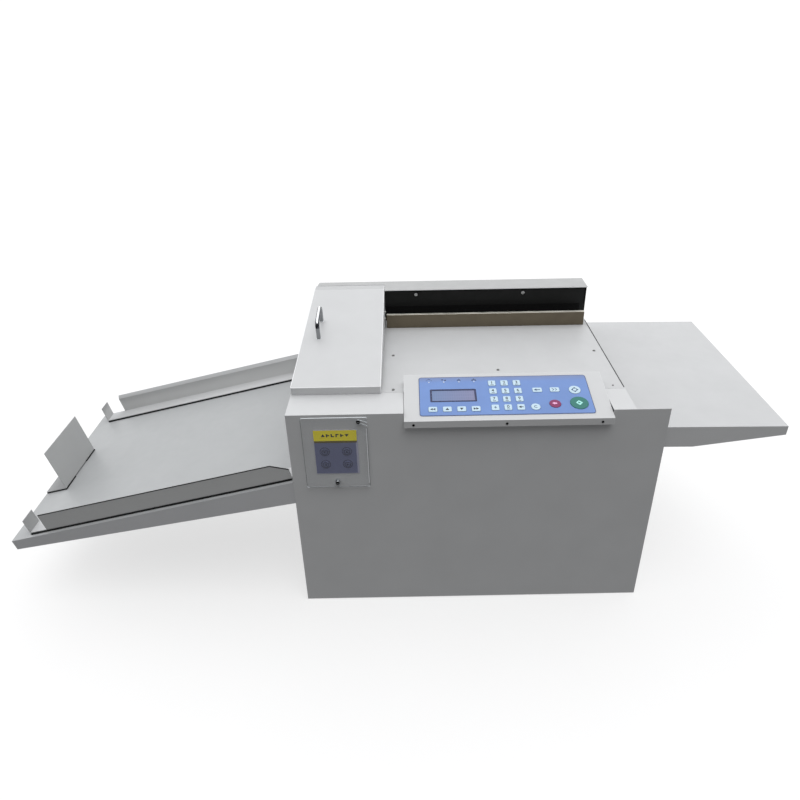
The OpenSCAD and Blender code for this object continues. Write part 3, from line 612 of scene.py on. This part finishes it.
def moving_sheets():
    """Cover, guides, paper stop, their magnets and the clear cover."""
    # painted highlight: the cover's rounded edges take the near-white edge paint
    cover = dressed("crease_cover", [PAINT_COVER, PAINT_EDGE_HIGHLIGHT, PAINT_COVER_REAR_SHADE], 1.4, 3, edge_index=1)
    # painted shade: the cover's level rear faces take the darker paint
    other_faces(cover, CABINET, lambda middle, normal: normal.z > 0.99 and middle.y > cover_bend_y, 2)
    rear = (CABINET @ Vector((0, cover_high.y - 1, 0))).y
    weights = cover.data.attributes["bevel_weight_edge"].data
    for edge in cover.data.edges:  # the rear end stays sharp, so no pale line shows along it
        if min(cover.data.vertices[v].co.y for v in edge.vertices) > rear:
            weights[edge.index].value = 0.1
    for node in ("front_guide", "rear_guide"):
        guide = dressed(node, [PAINT_GUIDE, PAINT_TAB_SHADE, PAINT_FOOT_LIT], 0.9)
        # painted shade: faces along the slope take the darker tab paint
        other_faces(guide, TRAY, lambda middle, normal: abs(normal.x) > 0.7)
        # painted light: upward faces take the lighter paint
        other_faces(guide, TRAY, lambda middle, normal: normal.z > 0.3, 2)
    stop = dressed("paper_stop", [PAINT_STOP, PAINT_STOP_FOOT_SHADE], 0.9)
    # painted shade: the foot's upper faces take the darker paint
    other_faces(stop, TRAY, lambda middle, normal: middle.z < 8 and normal.z > 0.7)
    for node in ("front_guide_magnet", "rear_guide_magnet", "stop_magnets"):
        dressed(node, MAGNET_AND_SHADE, 0.5)
    dressed("swing_cover", CLEAR, 0.35, 2)


def inner_nodes():
    """Crease unit, motor, socket and switch."""
    dressed("unit_frame", STEEL, 0.6)
    dressed("crease_blade", BRIGHT, 0.4)
    dressed("drive_motor", PAINT_MOTOR, 1.5, 3)
    dressed("power_socket", BLACK, 0.6)
    dressed("power_switch", BLACK, 0.6)
    for node in ("infeed_roller", "infeed_pinch_roller", "outfeed_roller", "outfeed_pinch_roller"):
        piece = dressed(node, [BRIGHT, TYRE], 0.5)
        low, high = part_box(node)
        middle, tyre = (low + high) / 2, (high.x - low.x) / 2
        for face in piece.data.polygons:
            reach = math.hypot(face.center.x - middle.x, face.center.z - middle.z)
            face.material_index = 1 if reach > tyre * 0.93 else 0


cabinet_sheets()
console_nodes()
moving_sheets()
inner_nodes()
dressed("rubber_feet", RUBBER, 1.0)
dressed("adjuster_plate", BORDER, 0.3)
for number in range(1, 5):
    dressed(f"adjuster_button_{number}", BUTTON, 0.6)

# ---------------------------------------------------------------- screws and small metal parts


def screw(bm, place, x, y, z, radius, height, turn):
    """A domed screw head whose cross recess is drawn as a dark cross of painted shade laid on it, seated at
    z on a local frame.
    """
    seat = place @ Matrix.Translation((x, y, z)) @ Matrix.Rotation(math.radians(turn), 4, "Z")
    flat = 0.62 * radius
    profile = [(radius, -0.2), (radius, 0.3 * height), (0.93 * radius, 0.6 * height)]
    turned(bm, seat, profile + [(0.8 * radius, 0.86 * height), (flat, height)], 24)
    arm, half = 0.5 * radius, 0.13 * radius
    cross = [(arm, -half), (arm, half), (half, half), (half, arm), (-half, arm), (-half, half)]
    cross += [(-x_, -y_) for x_, y_ in cross]
    # painted shade: a dark cross laid on the head stands for the recess
    prism(bm, seat, cross, height - 0.05, height + 0.04, 1)


def screw_group(name, head, spots):
    """Screws of one kind: each spot is a local frame, a place on it, a height and a radius."""
    bm = bmesh.new()
    for i, (place, x, y, z, radius) in enumerate(spots):
        screw(bm, place, x, y, z, radius, 0.5 * radius, 20 + 47 * i)
    return finished(name, bm, "cabinet", [head, RECESS_SHADE])


def cabinet_screws():
    """Screws of deck, dark board, console, fence, back panel and sides."""
    deck = [(176.6, 216), (178.5, 80.7), (565.4, 221.6), (370.5, 148.7)]
    deck_spots = [(CABINET, x, y, deck_h, 2.8) for x, y in deck] + [(CABINET, 564.5, 82.7, deck_h, 1.8)]
    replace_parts(screw_group("deck_screws", DARK_NICKEL, deck_spots), "screws")
    board = [(x, board_high.z - 11.5) for x in (223.5, 449)]
    board_spots = [(FRONT, x, z, -board_low.y, 3.4) for x, z in board]
    screw_group("board_screws", SCREW_WHITE, board_spots)
    front_x = [console_low.x + x for x in (15.6, 170, 328)]
    middle_z = console_low.z + 5.4
    console_spots = [(FRONT, x, middle_z, -console_low.y, 2.2) for x in front_x]
    screw_group("console_screws", BLACK_ZINC, console_spots)
    fence = [(CABINET, x, fence_low.y + 14, deck_h + 2, panel_screw) for x in (200, 370, 540)]
    screw_group("fence_screws", NICKEL, fence)
    edges = [(BACK, -x, z, back_high.y, panel_screw) for x in (12, 200, 383, 571) for z in (24, 405)]
    screw_group("back_panel_screws", NICKEL, edges)
    sides = [
        (place, flip * along, 24, out, panel_screw)
        for place, flip, out in ((RIGHT, 1, cabinet_w), (LEFT, -1, 0))
        for along in (40, 215, 390)
    ]
    screw_group("side_panel_screws", NICKEL, sides)


def swing_cover_screws():
    """The clear cover's pivot and locking screws: spacer, shank and a dark head with a bright rim."""
    bm = bmesh.new()
    for (x, z), spacer in (((79, 289), 5.0), ((121.2, 413), 2.2)):
        seat = FRONT @ Matrix.Translation((x, z, 0))
        turned(bm, seat, [(spacer, 0), (spacer, 4.2), (2.2, 4.2), (2.2, 6.8)], 24)
        turned(bm, seat, [(3.6, 6.75), (3.7, 7.0), (3.7, 7.8), (3.5, 8.0)], 32)
        turned(bm, seat, [(3.5, 8.0), (3.5, 8.4), (3.1, 8.9), (2.2, 9.2)], 32, 1)
        prism(bm, seat, rectangle(4.0, 0.8), 9.15, 9.24, 0)
    finished("swing_cover_screws", bm, "cabinet", [CHROME, BLACK_ZINC])


def swing_cover_edges():
    """Fine lines along the clear cover's sawn edges: a white painted highlight on its right side, grey
    painted shade lines on the rest.
    """
    pale, dark = bmesh.new(), bmesh.new()
    low, high = mm_box("swing_cover")
    out = -low.y
    prism(pale, FRONT, rectangle(1.5, 112, high.x - 1.9, low.z + 64), out - 0.1, out + 0.05)
    prism(dark, FRONT, rectangle(0.8, 118, high.x - 0.6, low.z + 62), out - 0.1, out + 0.05)
    prism(dark, FRONT, rectangle(0.7, 134, low.x + 0.5, low.z + 71), out - 0.1, out + 0.05)
    prism(dark, FRONT, rectangle(103, 0.8, (low.x + high.x) / 2, low.z + 0.6), out - 0.1, out + 0.05)
    finished("clear_edge_highlight_line", pale, "clear_cover", EDGE_HIGHLIGHT)
    finished("clear_edge_shade_lines", dark, "clear_cover", EDGE_SHADE)


def handle():
    """Chrome bow handle, a round bar with bent corners; a painted dark reflection where it faces its sides
    and the front, and a painted mid-grey reflection on its legs.
    """
    bar, bend, height, span = 3.9, 10.0, 34.5, 60.0
    front_foot_x, front_foot_y = 36.5, 214
    foot = Vector((front_foot_x - cover_low.x, 0, 0))
    start = (front_foot_y - cover_low.y) / math.cos(cover_slope)
    path = [(0, -0.5), (0, height - bend)]
    for a in range(10, 91, 10):
        turn = math.radians(a)
        path.append((bend - bend * math.cos(turn), height - bend + bend * math.sin(turn)))
    path += [(span - y, z) for y, z in reversed(path)]
    bm = bmesh.new()
    steps = 24
    rings = []
    for i, (y, z) in enumerate(path):
        before, after = path[max(i - 1, 0)], path[min(i + 1, len(path) - 1)]
        ahead = Vector((0, after[0] - before[0], after[1] - before[1])).normalized()
        side = Vector((1, 0, 0))
        up = ahead.cross(side)
        middle = foot + Vector((0, start + y, z))
        ring = []
        for k in range(steps):
            a = 2 * math.pi * k / steps
            ring.append(bm.verts.new(COVER @ (middle + bar * (math.cos(a) * side + math.sin(a) * up))))
        rings.append(ring)
    for i, (lower, upper) in enumerate(zip(rings, rings[1:])):
        for k in range(steps):
            j = (k + 1) % steps
            face = bm.faces.new((lower[k], lower[j], upper[j], upper[k]))
            # painted reflection: dark on the bar's sides and front bend, mid grey on the legs
            beside = abs(math.cos(2 * math.pi * (k + 0.5) / steps)) > 0.6
            leg, front_bend = i < 1 or i > len(rings) - 6, i < 5
            face.material_index = 2 if leg else 1 if beside or front_bend else 0
    for ring in (rings[0], rings[-1]):
        bm.faces.new(ring)
    for y in (0, span):
        seat = COVER @ Matrix.Translation(foot + Vector((0, start + y, 0)))
        turned(bm, seat, [(4.5, -0.3), (4.5, 0.5), (4.2, 0.8), (3.85, 0.8)], 32)
    bow = finished("bow_handle", bm, "cover", [CHROME, CHROME_SHADE, CHROME_LEG_SHADE], 50)
    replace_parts(bow, "cover_handle")


def edge_strip():
    """Dark strip let into the deck's right edge."""
    bm = bmesh.new()
    prism(bm, CABINET, rectangle(1.8, 296, cabinet_w - 0.8, 224), deck_h - 1.6, deck_h + 0.15)
    finished("deck_edge_strip", bm, "cabinet", MAGNET_AND_SHADE)


def cover_side_screws():
    """Two screws on the cover's right wall."""
    wall = RIGHT @ Matrix.Translation((0, 0, cover_high.x))
    bm = bmesh.new()
    for i, (y, z) in enumerate(((364.4, 452.0), (351.3, 442.9))):
        screw(bm, wall, y, z, 0, 2.8, 2.7, 35 + 30 * i)
    finished("cover_side_screws", bm, "cover", [NICKEL, RECESS_SHADE])


def board_seal():
    """Black strips painted as shade: a band along the foot of the dark board, and a painted shadow along its
    top and its right end.
    """
    bm = bmesh.new()
    out = -board_low.y
    left = board_low.x
    lip_shadow = [(left, 488.6), (579.4, 488.6), (579.4, 454), (582.4, 454), (582.4, 492.3), (left, 492.3)]
    foot_shade = [(left + 0.4, 424), (571, 424), (571, 455.6), (left + 0.4, 455.6)]
    prism(bm, FRONT, foot_shade, out - 0.1, out + 0.5)
    prism(bm, FRONT, lip_shadow, out - 0.1, out + 0.6)
    finished("board_painted_shade", bm, "cabinet", SHADE_BLACK)


def front_guide_edging():
    """Dark line painted as shade along the top of the front guide's wall."""
    bm = bmesh.new()
    upright = TRAY @ Matrix.Rotation(math.radians(90), 4, "X")
    line = [(-478.6, 36.2), (-33.2, 36.2), (-2.3, 21.3), (-2.3, 22.5), (-32.8, 37.3), (-478.6, 37.3)]
    prism(bm, upright, line, -12.3, -10.6)
    finished("front_guide_edging", bm, "front_guide_set", MAGNET_AND_SHADE)


# ---------------------------------------------------------------- console face


def on_console(x, down, z=0.0):
    """A place on the console's sloping top, across and down from its rear left corner."""
    return CONSOLE @ Matrix.Translation((x, -down, z))


def display_rim():
    """Dark rim printed round the display window."""
    bm = bmesh.new()
    outer = rounded_rectangle(79.5, 32.6, 2.2)
    inner = rounded_rectangle(73.0, 26.4, 1.2)
    frame_band(bm, on_console(84.7, 57.5), outer, inner, 0.3, 1.05)
    rounded_edges(finished("display_rim", bm, "cabinet", DISPLAY_RIM), 0.2)


def foil_border():
    """Fine dark line round the key foil."""
    bm = bmesh.new()
    outer = rounded_rectangle(293, 98.5, 5.0)
    inner = rounded_rectangle(291.2, 96.7, 4.1)
    frame_band(bm, on_console(172.7, 58.2), outer, inner, overlay_t + print_foot, overlay_t + 0.06)
    finished("foil_border_line", bm, "cabinet", FOIL_LINE)


START_KEY = (295.6, 82.2)  # across and down the console
TRIANGLE = [[(-3.2, -2.3), (3.2, -2.3), (0, 2.8)]]
ARC_MARK = [arc(3.1, -140, 140, 14) + arc(2.1, 140, -140, 14)]


def indicator_marks():
    """Four generic status marks with a small white lamp below each."""
    dark, pale = bmesh.new(), bmesh.new()
    ring = arc(2.4, 20, 160, 8) + arc(1.7, 160, 20, 8)
    dot, tab = rectangle(1.0, 1.0), rectangle(2.6, 1.8)
    roof = [[(-3, -1.4), (-2, -1.4), (0, 1.3), (0, 2.4)], [(3, -1.4), (0, 2.4), (0, 1.3), (2, -1.4)]]
    shapes = [
        [ring, *moved([dot], -3.4, -0.6), *moved([dot], 3.4, -0.6)],
        [*moved([tab], -2.0, 0.6), *moved([tab], 2.0, -0.2)],
        [*roof, rectangle(4, 0.8, 0, -1.0)],
        [line for x, y in ((-2.2, -0.8), (2.2, -0.8), (0, 1.2)) for line in moved(TRIANGLE, x, y, 0, 0.5)],
    ]
    for i, x in enumerate((44, 70.1, 96.4, 122.8)):
        for line in moved(shapes[i], 0, 0, 0, 1.25):
            prism(dark, on_console(x, 16.8), line, overlay_t + print_foot, overlay_t + 0.07)
        turned(pale, on_console(x, 22.3, overlay_t), [(1.2, -0.1), (1.2, 0.25), (0.8, 0.45), (0.3, 0.5)], 20)
    finished("indicator_marks", dark, "cabinet", MARK)
    finished("indicator_lamps", pale, "cabinet", MARK_WHITE)


def digit_outline_mesh(text, size_mm):
    """Mesh of one plain figure, in millimetres about its middle."""
    curve = bpy.data.curves.new("figure", "FONT")
    curve.body = text
    curve.size = size_mm
    curve.align_x, curve.align_y = "CENTER", "CENTER"
    curve.extrude = 0.06
    curve.offset = 0.12
    holder = bpy.data.objects.new("figure", curve)
    bpy.context.scene.collection.objects.link(holder)
    bpy.context.view_layer.update()
    mesh = bpy.data.meshes.new_from_object(holder)
    bpy.data.objects.remove(holder)
    bpy.data.curves.remove(curve)
    return mesh


def key_face(x, down):
    """Frame on a key's flat top, in millimetres."""
    return on_console(x, down, key_top)


def legend(node, x, down, outlines, material=MARK):
    """Raised ink on a key's top, moving with the key."""
    bm = bmesh.new()
    for line in outlines:
        prism(bm, key_face(x, down), line, -key_shy, 0.08)
    finished("legend_" + node, bm, body_of(node), material)


def figure_legend(node, text, x, down):
    """A plain figure with a short bar below it."""
    bm = bmesh.new()
    bm.from_mesh(digit_outline_mesh(text, 9.0))
    bm.transform(key_face(x, down - 1.2))
    prism(bm, key_face(x, down + 4.4), rectangle(5.4, 1.1), -key_shy, 0.06)
    finished("legend_" + node, bm, body_of(node), MARK)


def legends():
    """Generic marks and plain numbers on the console's keys."""
    left, right = moved(TRIANGLE, -2.2, 0, 90, 0.85), moved(TRIANGLE, 2.2, 0, 90, 0.85)
    functions = [left + right, TRIANGLE, moved(TRIANGLE, 0, 0, 180), moved(left + right, 0, 0, 180)]
    for i, outlines in enumerate(functions):
        legend(f"function_key_{i + 1}", 48.6 + 24.1 * i, 92.1, outlines)
    names = [str(n) for n in range(1, 10)] + ["left", "0", "right"]
    for i, name in enumerate(names):
        x, down = 153.4 + 21.5 * (i % 3), 27.7 + 20.8 * (i // 3)
        if name == "left":
            bar = rectangle(5, 1.1)
            legend("number_key_left", x, down, moved([bar], 0, 0) + moved([bar], 0, 0, 90), MARK_BLUE)
        elif name == "right":
            arrow = moved(TRIANGLE, -1.6, 0, 90, 0.9) + [rectangle(4, 1.4, 2.0)]
            legend("number_key_right", x, down, arrow)
        else:
            figure_legend(f"number_key_{name}", name, x, down)
    arrow = moved(TRIANGLE, -3.2, 0, 90, 0.9) + [rectangle(6.5, 1.8, 1.8)]
    legend("mode_key_1", 229.6, 47.4, arrow, MARK_BLUE)
    chevron = [(-1.4, -3), (1.6, 0), (-1.4, 3), (-2.8, 3), (0.2, 0), (-2.8, -3)]
    legend("mode_key_2", 259.6, 47.4, moved([chevron], -2.2, 0) + moved([chevron], 2.8, 0), MARK_BLUE)
    marks, bars = [], []
    for i in range(4):
        a = i * math.pi / 2
        marks += moved(TRIANGLE, 4.6 * math.cos(a), 4.6 * math.sin(a), math.degrees(a) - 90, 0.75)
        bars += moved([rectangle(4.6, 0.9, 0, 3.9)], 0, 0, 45 + 90 * i)
    legend("arrow_key_cap", 294, 48.8, marks + bars, MARK_BLUE)
    legend("clear_key_cap", 221, 90, moved(ARC_MARK, 0.3, 0, 180), MARK_BLUE)
    arrow = [(-4.6, 0.6), (-0.6, 4.0), (-0.6, 2.4), (3.6, 1.8), (3.6, -1.4), (-0.6, -1.2), (-0.6, -2.8)]
    legend("stop_key_cap", 254.4, 83.0, [arrow], MARK_PINK)
    legend("start_key_cap", *START_KEY, [[(6, 0), (0, 6), (-6, 0), (0, -6)]], MARK_CYAN)


def start_key_core():
    """Green triangle within the start key's mark."""
    bm = bmesh.new()
    prism(bm, key_face(*START_KEY), moved(TRIANGLE, 0, 0, -90, 0.8)[0], 0.02, 0.12)
    finished("legend_start_core", bm, "start_key_cap_body", KEY_GREEN)


# ---------------------------------------------------------------- adjuster on the front panel

ADJUST_X = (60.8, 98.5)
ADJUST_Z = (350.5, 324.3)


def bored_plate(bm, place, low, high, bore, radius, bottom, top):
    """A rectangle between two corners with one round bore."""
    cx, cy = bore
    corners = [(low[0], low[1]), (high[0], low[1]), (high[0], high[1]), (low[0], high[1])]
    angles = [2 * math.pi * i / 32 for i in range(32)]
    angles += [math.atan2(y - cy, x - cx) % (2 * math.pi) for x, y in corners]
    outer, inner = [], []
    for a in sorted(set(round(a, 5) for a in angles)):
        c, s_ = math.cos(a), math.sin(a)
        reach_x = ((high[0] if c > 0 else low[0]) - cx) / c if abs(c) > 1e-6 else 1e9
        reach_y = ((high[1] if s_ > 0 else low[1]) - cy) / s_ if abs(s_) > 1e-6 else 1e9
        reach = min(reach_x, reach_y)
        outer.append((cx + reach * c, cy + reach * s_))
        inner.append((cx + radius * c, cy + radius * s_))
    frame_band(bm, place, outer, inner, bottom, top)


def adjuster_face():
    """Yellow header with generic marks over a grey-blue window round the four buttons."""
    face = FRONT @ Matrix.Translation((0, 0, -adjust_low.y))
    window = bmesh.new()
    for i, x in enumerate(ADJUST_X):
        for j, z in enumerate(ADJUST_Z):
            low = (44.2 if i == 0 else 79.6, 337.4 if j == 0 else 305.4)
            high = (79.6 if i == 0 else 114.7, 368.2 if j == 0 else 337.4)
            bored_plate(window, face, low, high, (x, z), 6.4, print_foot, 0.2)
    finished("adjuster_window", window, "cabinet", WINDOW)
    header = bmesh.new()
    prism(header, face, rectangle(72.8, 20.8, 80.3, 382.6), print_foot, 0.3, 0)
    # painted shadow: a dark line under the yellow header
    prism(header, face, rectangle(72.0, 4.0, 80.3, 370.2), print_foot, 0.25, 1)
    for i, x in enumerate((60, 68, 76, 84, 92, 100)):
        mark = [rectangle(2.2, 6.4, x - 1.6, 383), rectangle(3.4, 2, x + 1, 385 - 2 * (i % 3))]
        if i in (0, 5):
            mark = moved(TRIANGLE, x, 383, 180 * (i % 2), 1.1)
        for line in mark:
            prism(header, face, line, 0.25, 0.36, 2)
    finished("adjuster_header", header, "cabinet", [YELLOW, YELLOW_SHADOW, MARK])


def button_marks():
    """A ring and an arrow on each adjuster button, and a dark ring printed round it."""
    turns = (180, 0, 90, -90)
    rings = bmesh.new()
    for i in range(4):
        x, z = ADJUST_X[i % 2], ADJUST_Z[i // 2]
        bm = bmesh.new()
        top = FRONT @ Matrix.Translation((x, z, 3.0))
        frame_band(bm, top, circle(5.2), circle(4.4), -0.1, 0.12)
        prism(bm, top, moved(TRIANGLE, 0, 0, turns[i], 0.8)[0], -0.1, 0.12)
        finished(f"button_mark_{i + 1}", bm, f"adjuster_button_{i + 1}_body", WINDOW_DARK)
        foot = FRONT @ Matrix.Translation((x, z, 1.2))
        frame_band(rings, foot, circle(8.6, 32), circle(7.7, 32), print_foot, 0.06)
    finished("button_rings", rings, "cabinet", WINDOW_DARK)


# ---------------------------------------------------------------- back and inside


def switch_marks():
    """I and O marks beside the rocker."""
    bm = bmesh.new()
    face = BACK @ Matrix.Translation((-112, 60, back_high.y))
    prism(bm, face, rectangle(0.9, 4, 0, 12.5), print_foot, 0.08)
    frame_band(bm, face, circle(2.2, 24, 0, -12.5), circle(1.5, 24, 0, -12.5), print_foot, 0.08)
    finished("switch_marks", bm, "cabinet", MARK)


def bearings():
    """Flanged bearings of the rollers in the end plates."""
    bm = bmesh.new()
    for x, z, bore in ((118, 411, 5.2), (44, 411, 5.2), (118, 430.5, 3.2), (44, 430.5, 3.2)):
        for y, way in ((75.9, -1), (356.1, 1)):
            seat = CABINET @ Matrix.Translation((x, y, z)) @ Matrix.Rotation(math.radians(-90 * way), 4, "X")
            reach = 3.2 if bore > 4 else 2.4
            frame_band(bm, seat, circle(bore + reach), circle(bore), 0, 1.4)
    finished("roller_bearings", bm, "cabinet", BRIGHT)


cabinet_screws()
swing_cover_screws()
swing_cover_edges()
handle()
edge_strip()
cover_side_screws()
board_seal()
front_guide_edging()
display_rim()
foil_border()
indicator_marks()
legends()
start_key_core()
adjuster_face()
button_marks()
switch_marks()
bearings()

# ---------------------------------------------------------------- floor, light and camera

room_rear, room_front, room_below = 1.45, 0.25, 0.15  # strength of the room's light by direction


def floor():
    """Pale paper floor that rises far from the object on every side."""
    bm = bmesh.new()
    rings = [(0.01, 0), (4, 0), (9, 0), (14, 0.5), (20, 1.6)]  # radius and height in metres
    turned(bm, Matrix.Identity(4), [(0, 0)] + rings, 96)
    for face in [f for f in bm.faces if len(f.verts) > 4]:  # no lid over the floor
        bm.faces.remove(face)
    mesh = bpy.data.meshes.new("studio_floor")
    bm.to_mesh(mesh)
    bm.free()
    middle, dark, pale = [(grey, grey, grey, 1.0) for grey in (0.34, 0.335, 0.345)]
    made, tree, shader = new_shader("floor_paper", middle, 0.9)
    shader.inputs["Specular IOR Level"].default_value = 0.1
    shader.inputs["Emission Color"].default_value = (1, 1, 1, 1)
    shader.inputs["Emission Strength"].default_value = 0.64
    paper = ranged(tree, noise(tree, 400, 2), 0, 1)
    tree.links.new(mixed(tree, paper, dark, pale), shader.inputs["Base Color"])
    mesh.materials.append(made)
    mesh.polygons.foreach_set("use_smooth", [True] * len(mesh.polygons))
    plane = bpy.data.objects.new("studio_floor", mesh)
    bpy.context.scene.collection.objects.link(plane)
    plane.visible_diffuse = False
    plane.visible_glossy = False


def light():
    """A soft overhead light from the front, in a room bright behind and dim in front and below."""
    sun_data = bpy.data.lights.new("overhead", "SUN")
    sun_data.energy = 1.15
    sun_data.angle = math.radians(42)
    sun = bpy.data.objects.new("overhead", sun_data)
    sun.rotation_euler = (math.radians(22), math.radians(4), 0)
    bpy.context.scene.collection.objects.link(sun)
    world = bpy.data.worlds.new("studio")
    bpy.context.scene.world = world
    world.use_nodes = True
    tree = world.node_tree
    room = tree.nodes["Background"]
    room.inputs["Color"].default_value = (0.985, 0.99, 1.0, 1.0)
    coords = tree.nodes.new("ShaderNodeTexCoord")
    way = tree.nodes.new("ShaderNodeSeparateXYZ")
    tree.links.new(coords.outputs["Generated"], way.inputs["Vector"])
    above = ranged(tree, way.outputs["Y"], room_front, room_rear, -0.5, 0.3)
    part = ranged(tree, way.outputs["Z"], 0.0, 1.0, -0.08, 0.04)
    gain = tree.nodes.new("ShaderNodeMix")
    gain.data_type = "FLOAT"
    gain.inputs[2].default_value = room_below
    tree.links.new(part, gain.inputs[0])
    tree.links.new(above, gain.inputs[3])
    tree.links.new(gain.outputs[0], room.inputs["Strength"])
    backdrop = tree.nodes.new("ShaderNodeBackground")
    backdrop.inputs["Color"].default_value = (1, 1, 1, 1)
    seen = tree.nodes.new("ShaderNodeLightPath")  # the backdrop itself is plain white
    both = tree.nodes.new("ShaderNodeMixShader")
    tree.links.new(seen.outputs["Is Camera Ray"], both.inputs["Fac"])
    tree.links.new(room.outputs["Background"], both.inputs[1])
    tree.links.new(backdrop.outputs["Background"], both.inputs[2])
    tree.links.new(both.outputs["Shader"], tree.nodes["World Output"].inputs["Surface"])
    bpy.context.scene.view_settings.view_transform = "Standard"


def camera():
    """The photograph's viewing angle, fitted to points measured on the object."""
    data = bpy.data.cameras.new("camera")
    data.sensor_width = 36
    data.lens = 30.1685
    data.shift_x = -0.0156
    data.shift_y = -0.0005
    eye = bpy.data.objects.new("camera", data)
    eye.location = (0.05239, -1.1642, 0.99628)
    eye.rotation_euler = [math.radians(a) for a in (59.979, 0.859, -0.619)]
    bpy.context.scene.collection.objects.link(eye)
    bpy.context.scene.camera = eye


floor()
light()
camera()
